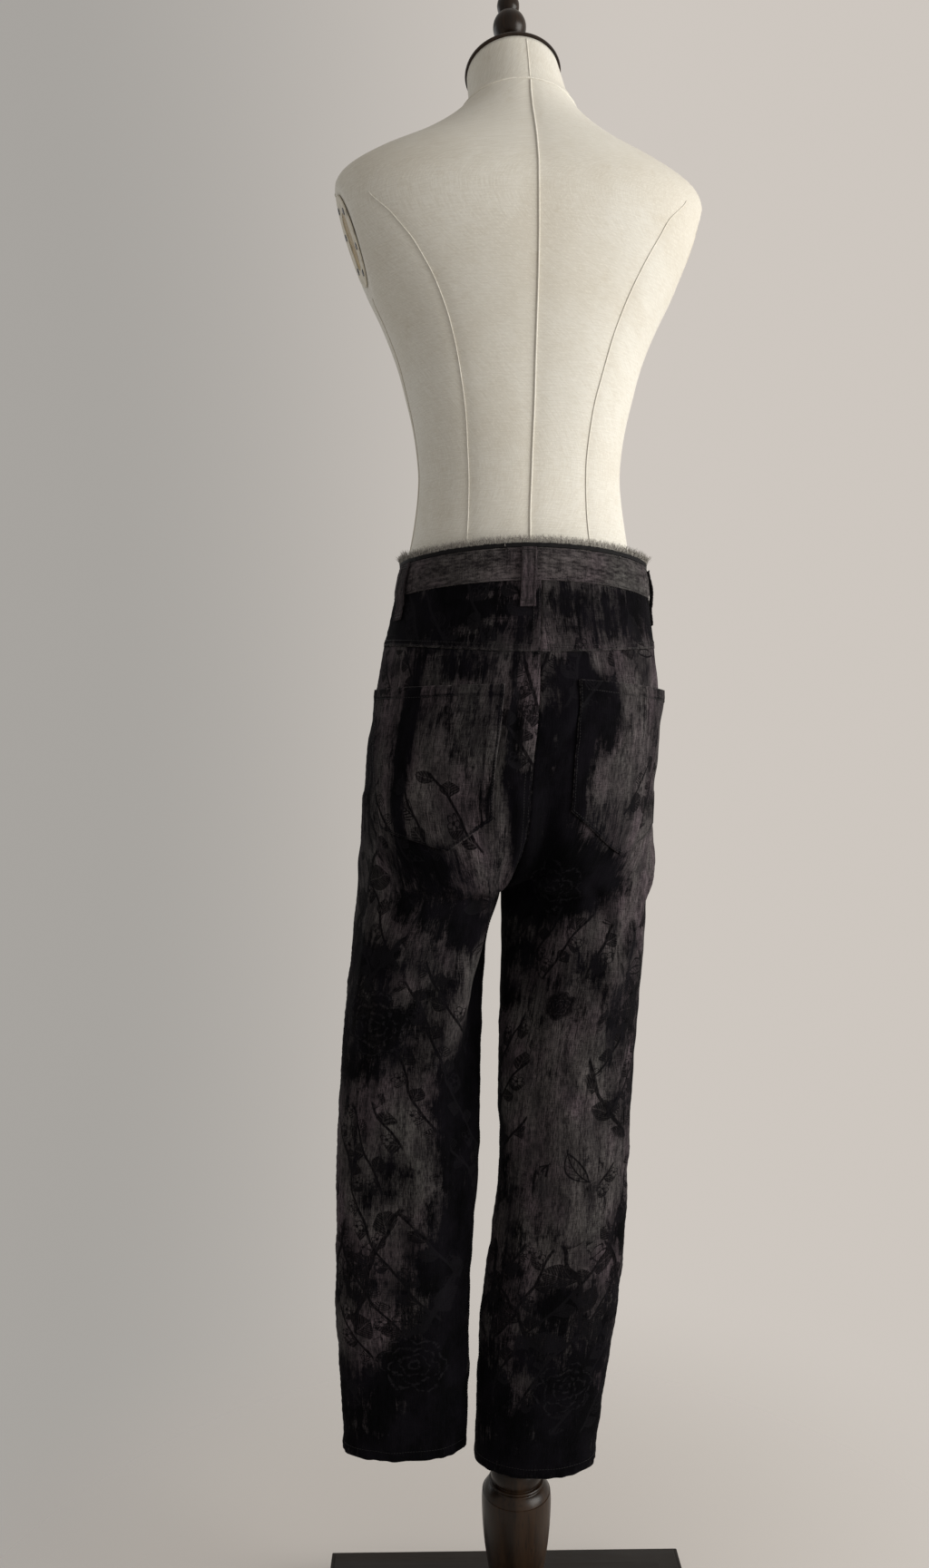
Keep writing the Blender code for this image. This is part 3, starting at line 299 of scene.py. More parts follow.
FORM_TURN = math.radians(7.0)
FORM = (
    # height, half width, back, front, squareness
    (1.165, 0.149, 0.108, 0.1, 2.0), (1.2, 0.156, 0.1138, 0.105, 2.0), (1.245, 0.16, 0.1162, 0.1064, 2.0),
    (1.29, 0.157, 0.1138, 0.1054, 2.0), (1.34, 0.148, 0.106, 0.1015, 2.0), (1.39, 0.137, 0.0965, 0.097, 2.0),
    (1.435, 0.1265, 0.09, 0.093, 2.05), (1.466, 0.1205, 0.0875, 0.0915, 2.05), (1.5, 0.1155, 0.086, 0.0905, 2.1),
    (1.527, 0.1145, 0.0855, 0.091, 2.15), (1.567, 0.1195, 0.087, 0.095, 2.2),
    (1.607, 0.1285, 0.0905, 0.1015, 2.25), (1.647, 0.139, 0.095, 0.108, 2.3), (1.687, 0.155, 0.1005, 0.114, 2.35),
    (1.726, 0.175, 0.105, 0.117, 2.35), (1.766, 0.1945, 0.107, 0.115, 2.35), (1.8, 0.206, 0.105, 0.108, 2.3),
    (1.8245, 0.2085, 0.099, 0.097, 2.2), (1.844, 0.1995, 0.091, 0.085, 2.1), (1.864, 0.168, 0.082, 0.074, 2.05),
    (1.884, 0.1235, 0.072, 0.069, 2.0), (1.904, 0.09, 0.06, 0.068, 2.0), (1.9235, 0.0665, 0.05, 0.0685, 2.0),
    (1.94, 0.056, 0.0445, 0.0675, 2.0),
)
NECK_TILT = math.radians(18)
NECK_FOOT = Vector((0.0, 0.0115, 1.9400))
NECK_HEAD = Vector((-0.0055, 0.0160, 1.9720))
NECK_FOOT_RADIUS = 0.0560
NECK_HEAD_RADIUS = 0.0520
ARM_FLAT_X = 0.1875
ARM_FLAT_Z = 1.7740
ARM_FLAT_LEAN = math.radians(19)

# The form's seams: angle round it in degrees, 0 at its right side and 270 at its back, and height
FORM_SEAMS = {
    "centre_back": ((268, 1.425), (268, 1.47), (269, 1.512), (270, 1.576), (270, 1.64), (270, 1.712), (270, 1.804),
                    (270.5, 1.856), (271, 1.896), (272, 1.924), (272.5, 1.9365)),
    "left_back": ((236.5, 1.425), (235, 1.5), (234.5, 1.532), (236, 1.588), (236, 1.624), (235, 1.676), (233, 1.712),
                  (229, 1.748), (223, 1.776), (214, 1.8)),
    "right_back": ((300, 1.425), (300, 1.496), (300, 1.536), (301, 1.592), (303.5, 1.632), (305, 1.676), (307, 1.716),
                   (309.5, 1.748), (314, 1.784), (325, 1.812)),
    "left_side": ((181, 1.425), (181, 1.5), (181, 1.58), (181, 1.66), (181, 1.712)),
    "right_side": ((359, 1.425), (359, 1.5), (359, 1.58), (359, 1.66), (359, 1.712)),
    "left_front": ((122, 1.425), (121, 1.52), (119, 1.62), (117, 1.7), (119, 1.76), (128, 1.8), (144, 1.822)),
    "right_front": ((58, 1.425), (59, 1.52), (61, 1.62), (63, 1.7), (61, 1.76), (52, 1.8), (36, 1.822)),
    "centre_front": ((90, 1.425), (90, 1.54), (90, 1.66), (90, 1.78), (90, 1.86), (90, 1.924)),
    "left_shoulder": ((176, 1.812), (172, 1.838), (170, 1.862), (170, 1.89), (172, 1.922)),
    "right_shoulder": ((4, 1.812), (8, 1.838), (10, 1.862), (10, 1.89), (8, 1.922)),
}


# ---- The garment's surface ----


def ease(t):
    t = np.clip(t, 0.0, 1.0)
    return t * t * (3 - 2 * t)


def ridge(distance, at, half):
    """A rounded ridge of height 1 at the given distance."""
    return np.exp(-(((distance - at) / half) ** 2))


def patch(across, height, middle, level, half_across, half_height):
    """1 in the middle of an oval patch, falling to 0 round it."""
    reach = ((across - middle) / half_across) ** 2 + ((height - level) / half_height) ** 2
    return np.exp(-(reach**1.5))


def smooth(table, column, height):
    """A table's values at given heights, on a curve through its rows."""
    level = np.array([row[0] for row in table])
    value = np.array([row[column] for row in table])
    last = len(table) - 1
    before, after = np.maximum(np.arange(last + 1) - 1, 0), np.minimum(np.arange(last + 1) + 1, last)
    slope = (value[after] - value[before]) / (level[after] - level[before])
    height = np.clip(height, level[0], level[-1])
    k = np.clip(np.searchsorted(level, height, side="right") - 1, 0, last - 1)
    step = level[k + 1] - level[k]
    t = (height - level[k]) / step
    return (
        (2 * t**3 - 3 * t**2 + 1) * value[k]
        + (t**3 - 2 * t**2 + t) * step * slope[k]
        + (3 * t**2 - 2 * t**3) * value[k + 1]
        + (t**3 - t**2) * step * slope[k + 1]
    )


def turned(x, y, degrees):
    angle = np.radians(degrees)
    return np.stack((x * np.cos(angle) - y * np.sin(angle), x * np.sin(angle) + y * np.cos(angle)), axis=-1)


def unit(vectors):
    return vectors / np.maximum(np.linalg.norm(vectors, axis=-1, keepdims=True), 1e-12)


def leg_ring(side, height):
    """Outer x, inner x, back depth and front depth of a leg."""
    columns = (1, 2, 3, 4) if side == LEFT else (6, 5, 7, 8)
    return tuple(smooth(LEGS, column, height) for column in columns)


def side_seam(side, height):
    hip = np.maximum(height, SEAT_LINE)
    middle, wide, turn = (smooth(SEAT, column, hip) for column in (1, 2, 5))
    start = turned(side * wide, 0.0 * wide, turn)
    x = np.where(height >= SEAT_LINE, start[..., 0] + middle, leg_ring(side, height)[0])
    share = ease((SEAT_LINE - height) / (SEAT_LINE - 0.80))
    return np.stack((x, start[..., 1] * (1 - share)), axis=-1)


def inner_seam(side, face, height):
    """The seat seam down to the crotch, and the inside leg seam below it."""
    hip = np.maximum(height, SEAT_LINE)
    middle, reach, turn = (smooth(SEAT, column, hip) for column in (1, 3 if face == BACK else 4, 5))
    start = turned(0.0 * reach, face * reach, turn)
    start[..., 0] += middle
    drop = SEAT_LINE - CROTCH_HEIGHT
    angle = np.clip((SEAT_LINE - height) / drop, 0, 1) * math.pi / 2
    under = height <= CROTCH_HEIGHT
    x = start[..., 0] + (CROTCH_X + side * CROTCH_SPLIT - start[..., 0]) * np.sin(angle) ** 2
    y = start[..., 1] + (CROTCH_Y - start[..., 1]) * (1 - np.cos(angle))
    z = np.where(height >= SEAT_LINE, height, SEAT_LINE - drop * np.sin(angle))
    x = np.where(under, leg_ring(side, height)[1], x)
    return np.stack((x, np.where(under, CROTCH_Y, y), np.where(under, height, z)), axis=-1)


def bare_points(side, face, across, height):
    """The outer surface before its folds: across is 0 at the side seam and 1 at the inner seam."""
    start = side_seam(side, height)
    end = inner_seam(side, face, height)
    to_leg = ease((SEAT_LINE - height) / (SEAT_LINE - CROTCH_HEIGHT))
    hip = np.maximum(height, SEAT_LINE)
    wide, reach, turn = (smooth(SEAT, column, hip) for column in (2, 3 if face == BACK else 4, 5))
    turn = turn * (1 - ease((SEAT_LINE - height) / (SEAT_LINE - 0.70)))
    depth = leg_ring(side, np.minimum(height, SEAT_LINE))[2 if face == BACK else 3]
    side_handle = turned(0.0 * reach, face * (QUARTER_ARC * reach * (1 - to_leg) + HALF_ARC * depth * to_leg), turn)
    inner_handle = turned(side * QUARTER_ARC * wide * (1 - to_leg), face * HALF_ARC * depth * to_leg, turn)
    corner = end[..., :2]
    t = across[..., None]
    flat = (
        start * (1 - t) ** 3
        + (start + side_handle) * 3 * t * (1 - t) ** 2
        + (corner + inner_handle) * 3 * t * t * (1 - t)
        + corner * t**3
    )
    z = height + (end[..., 2] - height) * ease(across)
    return np.concatenate((flat, z[..., None]), axis=-1)


WIDTH_LEVELS = np.linspace(0.34, 1.45, 38)


def measure_width(side, face):
    """How wide a panel is at each level, along the cloth."""
    across, level = np.meshgrid(np.linspace(0, 1, 40), WIDTH_LEVELS)
    points = bare_points(side, face, across, level)
    return np.linalg.norm(np.diff(points, axis=1), axis=-1).sum(axis=1)


PANEL_WIDTHS = {panel: measure_width(*panel) for panel in PANELS}


def panel_width(side, face, height):
    return np.interp(height, WIDTH_LEVELS, PANEL_WIDTHS[side, face])


def fold_depth(side, face, across, height):
    total = np.zeros_like(height)
    for from_across, from_height, to_across, to_height, half_width, depth in FOLDS[side, face]:
        along = (from_height - height) / (from_height - to_height)
        line = from_across + (to_across - from_across) * np.clip(along, 0, 1)
        ends = ease((along + FOLD_ENDS) / (2 * FOLD_ENDS)) * ease((1 + FOLD_ENDS - along) / (2 * FOLD_ENDS))
        total += depth * ends * ridge(across, line, half_width)
    return total * ease(across / 0.12) * ease((1 - across) / 0.10)


def crease_depth(side, face, across, height):
    """How far the smaller creases move the cloth out. A crease may bend, and lean to one side."""
    total = np.zeros_like(height)
    u = across * panel_width(side, face, height)
    for across0, height0, across1, height1, bend, half_width, depth, lean in CREASES[side, face]:
        u0 = across0 * panel_width(side, face, height0)
        u1 = across1 * panel_width(side, face, height1)
        run = math.hypot(u1 - u0, height1 - height0)
        along = ((u - u0) * (u1 - u0) + (height - height0) * (height1 - height0)) / run**2
        off = ((u - u0) * (height1 - height0) - (height - height0) * (u1 - u0)) / run
        held = np.clip(along, 0, 1)
        off = off - bend * 4 * held * (1 - held)
        ends = ease((along + 0.30) / 0.60) * ease((1.30 - along) / 0.60)
        total += depth * ends * ridge(off, 0.0, half_width * (1 + lean * np.sign(off)))
    return total * ease(across / 0.05) * ease((1 - across) / 0.05)


SWAY = [
    # direction in space, phase, depth
    (chance.normal(size=3) * np.array((1.0, 1.0, 0.55)) * pitch, chance.uniform(0, 2 * math.pi), depth)
    for pitch, depth in ((28, 0.00060), (40, 0.00050), (52, 0.00042), (66, 0.00036), (84, 0.00030), (105, 0.00026),
                         (130, 0.00022), (160, 0.00018), (200, 0.00015), (250, 0.00012))
]


def unevenness(points):
    """Small swells all over the cloth, the same on both sides of a seam, fading at the fitted waist."""
    total = np.zeros(points.shape[:-1])
    for direction, phase, depth in SWAY:
        total += depth * np.sin(points @ direction + phase)
    return total * (0.25 + 0.75 * ease((1.34 - points[..., 2]) / 0.10))


def cloth(side, face, across, height):
    """Points of the garment's outer surface with its folds, and the outward normals there."""
    across, height = np.broadcast_arrays(np.asarray(across, float), np.asarray(height, float))
    step, rise = 0.01, 0.004
    before = bare_points(side, face, np.maximum(across - step, 0), height)
    after = bare_points(side, face, np.minimum(across + step, 1), height)
    below = bare_points(side, face, across, height - rise)
    above = bare_points(side, face, across, height + rise)
    normal = unit(np.cross(after - before, below - above)) * (-side * face)
    bare = bare_points(side, face, across, height)
    moved = fold_depth(side, face, across, height) + crease_depth(side, face, across, height) + unevenness(bare)
    return bare + normal * moved[..., None], normal


def waist_dip(face, across):
    if face == BACK:
        return WAIST_DIP_AT_SIDE * (1 - ease(across))
    return WAIST_DIP_AT_SIDE + (WAIST_DIP_AT_FRONT - WAIST_DIP_AT_SIDE) * ease(across)


def yoke_line(across):
    return YOKE_AT_SIDE + (YOKE_AT_BACK - YOKE_AT_SIDE) * ease(across)


def panel_top(face, across):
    return yoke_line(across) if face == BACK else BAND_BOTTOM - waist_dip(FRONT, across)


def waist(place, level):
    """Points and normals round the waist, at levels given at the centre back."""
    place, level = np.broadcast_arrays(np.asarray(place, float), np.asarray(level, float))
    side = np.where(place >= 0, LEFT, RIGHT) * np.where(np.abs(place) > 1, -1, 1)
    round_ = np.where(np.abs(place) > 1, 2 - np.abs(place), np.abs(place))
    face = np.where(round_ < 0.5, BACK, FRONT)
    across = np.where(round_ < 0.5, 1 - 2 * round_, 2 * round_ - 1)
    points, normals = np.zeros(place.shape + (3,)), np.zeros(place.shape + (3,))
    for of_side, of_face in PANELS:
        here = (side == of_side) & (face == of_face)
        found = cloth(of_side, of_face, across, level - waist_dip(of_face, across))
        points[here], normals[here] = found[0][here], found[1][here]
    return points, normals


def lap_lift(place):
    """The waistband's left end lies over its right end."""
    return (BAND_CLOTH + 0.0009) * ease((place - LAP_START) / (1 - LAP_START))


# Black dyeing, with painted shade in the rows at the crotch and along the inner legs
def dye_and_shade_level(side, face, across, height):
    total = np.full(np.shape(height), 0.10)
    for *place, strength in DYE_AND_SHADE_WASHES[side, face]:
        total += strength * patch(across, height, *place)
    return np.clip(total, 0, 1)


def print_fields(side, face, across, height):
    """What the print needs at each point: the black dyeing with its painted shade, how strongly each kind of motif
    shows, and the nearest rose.
    """
    shape = np.shape(height)
    fields = {kind: np.zeros(shape) for kind in ("twigs", "sprigs", "leaves", "rose_x", "rose_y", "rose_near")}
    for kind, *place in MOTIFS[side, face]:
        fields[kind] = np.maximum(fields[kind], patch(across, height, *place))
    u = across * panel_width(side, face, height)
    nearest = np.full(shape, ROSE_REACH)
    for middle, level, radius, turn in ROSES[side, face]:
        x, y = (u - middle * panel_width(side, face, np.array(level))) / radius, (height - level) / radius
        here = np.hypot(x, y) < nearest
        fields["rose_x"][here] = (x * math.cos(turn) - y * math.sin(turn))[here]
        fields["rose_y"][here] = (x * math.sin(turn) + y * math.cos(turn))[here]
        fields["rose_near"][here] = 1.0
        nearest = np.minimum(nearest, np.hypot(x, y))
    fields["dye"] = dye_and_shade_level(side, face, across, height)
    return fields


# ---- Making cloth ----


def edge_outward(points):
    """For each point on a grid's edge, the direction out of the sheet."""
    out = np.zeros_like(points)
    out[0] += unit(points[0] - points[1])
    out[-1] += unit(points[-1] - points[-2])
    out[:, 0] += unit(points[:, 0] - points[:, 1])
    out[:, -1] += unit(points[:, -1] - points[:, -2])
    return unit(out)


def shell(name, points, normals, thickness, uv, fields, finish):
    """A sheet of cloth with a rounded edge: its outer skin, its inner skin, and the edge between them."""
    rows, columns = points.shape[:2]
    outward = edge_outward(points)
    number = np.arange(rows * columns).reshape(rows, columns)
    border = np.concatenate((number[0, :-1], number[:-1, -1], number[-1, :0:-1], number[:0:-1, 0]))
    flat_points, flat_normals = points.reshape(-1, 3), normals.reshape(-1, 3)
    edge = flat_points - flat_normals * (thickness / 2)
    outer = flat_points.copy()
    outer[border] -= outward.reshape(-1, 3)[border] * (HALF_GAP + thickness * 0.2)
    edge = edge[border] - outward.reshape(-1, 3)[border] * HALF_GAP
    inner = outer - flat_normals * thickness
    count = rows * columns
    cells = np.stack((number[:-1, :-1], number[1:, :-1], number[1:, 1:], number[:-1, 1:]), axis=-1).reshape(-1, 4)
    first = cells[0]
    facing = np.cross(flat_points[first[1]] - flat_points[first[0]], flat_points[first[3]] - flat_points[first[0]])
    if facing @ flat_normals[first[0]] < 0:
        cells = cells[:, ::-1]
        border = border[::-1]
        edge = edge[::-1]
    ahead = np.roll(border, -1)
    rim = 2 * count + np.arange(len(border))
    rim_ahead = np.roll(rim, -1)
    faces = np.concatenate((
        cells,
        cells[:, ::-1] + count,
        np.stack((border, ahead, rim_ahead, rim), axis=-1),
        np.stack((rim, rim_ahead, ahead + count, border + count), axis=-1),
    ))
    made = mesh_piece(name, np.concatenate((outer, inner, edge)), faces.tolist(), finish)
    flat_uv = uv.reshape(-1, 2)
    set_uv(made, "cloth", np.concatenate((flat_uv, flat_uv, flat_uv[border])))
    for field, values in fields.items():
        values = np.broadcast_to(values, (rows, columns)).reshape(-1)
        set_field(made, field, np.concatenate((values, values, values[border])))
    return made


def linked(name, data):
    made = bpy.data.objects.new(name, data)
    bpy.context.scene.collection.objects.link(made)
    return made


def mesh_piece(name, points, faces, finish):
    data = bpy.data.meshes.new(name)
    data.from_pydata(points.tolist(), [], faces)
    data.shade_smooth()
    data.materials.append(finish)
    return linked(name, data)


def set_uv(piece, name, by_point):
    layer = piece.data.uv_layers.new(name=name)
    corner = np.zeros(len(piece.data.loops), int)
    piece.data.loops.foreach_get("vertex_index", corner)
    layer.data.foreach_set("uv", by_point[corner].astype(np.float32).ravel())


def set_field(piece, name, by_point):
    field = piece.data.attributes.new(name, "FLOAT", "POINT")
    field.data.foreach_set("value", np.asarray(by_point, np.float32))


def from_edges(points):
    """Distance along the cloth from each of a grid's edges: top, bottom, first column, last column."""
    down = np.linalg.norm(np.diff(points, axis=0), axis=-1)
    over = np.linalg.norm(np.diff(points, axis=1), axis=-1)
    top = np.concatenate((np.zeros((1, points.shape[1])), np.cumsum(down, axis=0)))
    first = np.concatenate((np.zeros((points.shape[0], 1)), np.cumsum(over, axis=1)), axis=1)
    return top, top[-1] - top, first, first[:, -1:] - first


def near(distance, reach):
    """1 at an edge, falling to 0 at the given distance from it."""
    return 1 - ease(distance / reach)


def pucker(distance, along, seed, reach=0.010, pitch=0.011):
    """Small gathers where a seam is sewn."""
    wave = np.sin(along * 2 * math.pi / pitch + 3.0 * np.sin(along * 41 + seed) + seed)
    return 0.00035 * wave * near(distance, reach)


def felled(distance, width):
    """The raised band of a felled seam, lower again at its stitches."""
    raised = 0.0008 * (1 - ease((distance - width) / 0.0015))
    grooves = sum(ridge(distance, row, GROOVE) for row in (FELLED_ROWS[0], width - FELLED_ROWS[0]))
    return raised - 0.00035 * grooves


def lifted(found, lift):
    """Points moved out along their normals, and the normals."""
    points, normals = found
    return points + normals * np.broadcast_to(lift, points.shape[:-1])[..., None], normals


def sheet_grid(columns, rows, wide=1.0):
    return np.meshgrid(np.linspace(0, wide, columns), np.linspace(0, 1, rows))


# ---- Materials ----


class Finish:
    """A material, with short ways to add its nodes and join them."""

    def __init__(self, name, roughness=0.8, **settings):
        self.material = bpy.data.materials.new(name)
        self.material.use_nodes = True
        self.tree = self.material.node_tree
        self.shader = self.tree.nodes["Principled BSDF"]
        self.shader.inputs["Roughness"].default_value = roughness
        for socket, value in settings.items():
            self.shader.inputs[socket.replace("_", " ").title().replace("Ior", "IOR")].default_value = value

    def node(self, kind, **settings):
        made = self.tree.nodes.new("ShaderNode" + kind)
        for setting, value in settings.items():
            setattr(made, setting, value)
        return made

    def join(self, source, target):
        if isinstance(source, (int, float)):
            target.default_value = source
        elif isinstance(source, tuple):
            target.default_value = (*source, 1.0) if len(target.default_value) == 4 else source
        else:
            self.tree.links.new(source, target)

    def math(self, operation, first, second=0.0, third=None):
        made = self.node("Math", operation=operation)
        self.join(first, made.inputs[0])
        self.join(second, made.inputs[1])
        if third is not None:
            self.join(third, made.inputs[2])
        return made.outputs[0]

    plus = partialmethod(math, "ADD")
    minus = partialmethod(math, "SUBTRACT")
    times = partialmethod(math, "MULTIPLY")
    times_plus = partialmethod(math, "MULTIPLY_ADD")
    divided = partialmethod(math, "DIVIDE")
    most = partialmethod(math, "MAXIMUM")
    size = partialmethod(math, "ABSOLUTE")
    sine = partialmethod(math, "SINE")
    fract = partialmethod(math, "FRACT")

    def vector(self, operation, first, second=(0.0, 0.0, 0.0), scale=None):
        made = self.node("VectorMath", operation=operation)
        self.join(first, made.inputs[0])
        if scale is None:
            self.join(second, made.inputs[1])
        else:
            self.join(scale, made.inputs["Scale"])
        return made.outputs["Value" if operation in ("LENGTH", "DOT_PRODUCT") else "Vector"]

    def noise(self, place, scale=1.0, detail=2.0, roughness=0.55, distortion=0.0):
        made = self.node("TexNoise")
        self.join(place, made.inputs["Vector"])
        settings = {"Scale": scale, "Detail": detail, "Roughness": roughness, "Distortion": distortion}
        for socket, value in settings.items():
            made.inputs[socket].default_value = value
        return made.outputs["Fac"]

    def between(self, value, low, high, to_low=0.0, to_high=1.0):
        made = self.node("MapRange", interpolation_type="SMOOTHSTEP")
        self.join(value, made.inputs["Value"])
        for socket, number in (("From Min", low), ("From Max", high), ("To Min", to_low), ("To Max", to_high)):
            self.join(number, made.inputs[socket])
        return made.outputs["Result"]

    def grain(self, place, x, y, z=1.0, shift=None, **settings):
        """Noise on a stretched place, which may be shifted to another part of the noise."""
        place = self.vector("MULTIPLY", place, (x, y, z))
        return self.noise(self.vector("ADD", place, shift) if shift else place, **settings)

    def falling(self, value, low, high):
        return self.between(value, low, high, 1.0, 0.0)

    def mix(self, share, first, second):
        made = self.node("Mix", data_type="RGBA")
        self.join(share, made.inputs["Factor"])
        self.join(first, made.inputs[6])
        self.join(second, made.inputs[7])
        return made.outputs[2]

    def field(self, name):
        return self.node("Attribute", attribute_name=name).outputs["Fac"]

    def uv(self):
        return self.node("UVMap", uv_map="cloth").outputs["UV"]

    def object_place(self):
        return self.node("TexCoord").outputs["Object"]

    def parts(self, vector):
        made = self.node("SeparateXYZ")
        self.join(vector, made.inputs[0])
        return made.outputs

    def slanted(self, place, angle):
        made = self.node("VectorRotate", rotation_type="Z_AXIS")
        self.join(place, made.inputs["Vector"])
        self.join(angle, made.inputs["Angle"])
        return made.outputs["Vector"]

    def joined(self, x, y):
        made = self.node("CombineXYZ")
        self.join(x, made.inputs[0])
        self.join(y, made.inputs[1])
        return made.outputs[0]

    def bump(self, height, strength, distance, under=None):
        made = self.node("Bump")
        self.join(height, made.inputs["Height"])
        made.inputs["Strength"].default_value = strength
        made.inputs["Distance"].default_value = distance
        if under is not None:
            self.join(under, made.inputs["Normal"])
        return made.outputs["Normal"]

    def finish(self, color, normal=None, roughness=None):
        self.join(color, self.shader.inputs["Base Color"])
        if normal is not None:
            self.join(normal, self.shader.inputs["Normal"])
        if roughness is not None:
            self.join(roughness, self.shader.inputs["Roughness"])
        return self.material


def heather(n, place):
    """The denim's uneven yarns: fine slubs down the cloth and softer streaks, from 0 to 1, and its twill."""
    slubs = n.grain(place, 900, 110, detail=3.0, roughness=0.6)
    streaks = n.grain(place, 230, 11, detail=3.0, roughness=0.6)
    weft = n.grain(place, 120, 760, detail=2.0)
    flecks = n.grain(place, 1500, 1100, detail=1.0)
    yarns = n.plus(n.times(slubs, 0.42), n.times(streaks, 0.26))
    yarns = n.plus(yarns, n.times(weft, 0.14))
    yarns = n.plus(yarns, n.times(flecks, 0.18))
    across, along, _ = n.parts(place)
    wales = n.sine(n.times(n.plus(across, along), 2 * math.pi / 0.0011))
    return n.between(yarns, 0.39, 0.63), n.times_plus(wales, 0.5, 0.5)


def scattered(n, place, spacing):
    """Motifs strewn over the cloth: the place as the nearest motif sees it, and that motif's own numbers."""
    cells = n.node("TexVoronoi", voronoi_dimensions="2D")
    n.join(place, cells.inputs["Vector"])
    cells.inputs["Scale"].default_value = 1 / spacing
    cells.inputs["Randomness"].default_value = 0.9
    own = n.parts(cells.outputs["Color"])
    local = n.vector("SUBTRACT", place, cells.outputs["Position"])
    return n.vector("SCALE", n.slanted(local, n.times(own[0], 6.283)), scale=1 / spacing), own


ROSE_RINGS = (
    # radius, petals, phase
    (0.20, 3, 0.4),
    (0.42, 4, 1.9),
    (0.66, 5, 0.9),
    (0.92, 6, 2.6),
)


def rose_ink(n, place):
    """Full blown roses, dark with a paler rim along each petal, where they lie, and the rims alone."""
    x, y = n.field("rose_x"), n.field("rose_y")
    ragged = n.times_plus(n.grain(place, 110, 110, detail=3.0), 0.34, -0.17)
    reach = n.math("SQRT", n.plus(n.times(x, x), n.times(y, y)))
    reach = n.plus(reach, ragged)
    angle = n.math("ARCTAN2", y, x)
    brushed = n.between(n.grain(place, 210, 210, detail=3.0), 0.40, 0.58)
    rims = 0.0
    for radius, petals, phase in ROSE_RINGS:
        scallop = n.size(n.sine(n.times_plus(angle, petals / 2, phase)))
        beyond = n.minus(reach, n.times_plus(scallop, 0.20 * radius, 0.84 * radius))
        rims = n.most(rims, n.falling(n.size(n.plus(beyond, 0.055)), 0.01, 0.055))
    close = n.math("GREATER_THAN", n.field("rose_near"), 0.99)
    inside = n.times(n.falling(beyond, 0.0, 0.03), close)
    rims = n.times(rims, brushed)
    ink = n.minus(0.96, n.times(rims, 0.62))
    return n.times(ink, inside), inside, n.times(rims, inside)


def leaf_ink(n, place):
    """Pointed leaves with a midrib and side veins, some filled with flat ink."""
    local, own = scattered(n, n.vector("ADD", place, (0.31, 0.31 * 0.7, 0.0)), 0.050)
    x, y, _ = n.parts(local)
    ragged = n.times_plus(n.grain(place, 160, 160), 0.10, -0.05)
    out = n.divided(n.size(n.plus(x, n.times(n.times(y, y), 0.5))), 0.17)
    along = n.divided(y, 0.42)
    side = n.minus(1.0, n.times(along, along))
    edge = n.plus(n.minus(out, side), ragged)
    inside = n.falling(edge, -0.04, 0.04)
    outline = n.falling(n.size(edge), 0.06, 0.18)
    midrib = n.times(n.falling(out, 0.05, 0.13), n.falling(n.size(along), 1.2, 1.3))
    veins = n.fract(n.times(n.minus(along, n.times(out, 0.55)), 3.5))
    veins = n.times(n.falling(n.size(n.minus(veins, 0.5)), 0.06, 0.14), inside)
    filled = n.times(inside, n.between(own[2], 0.45, 0.55, 0.0, 0.75))
    drawn = n.most(n.most(outline, midrib), n.times(veins, 0.8))
    return n.most(drawn, filled)


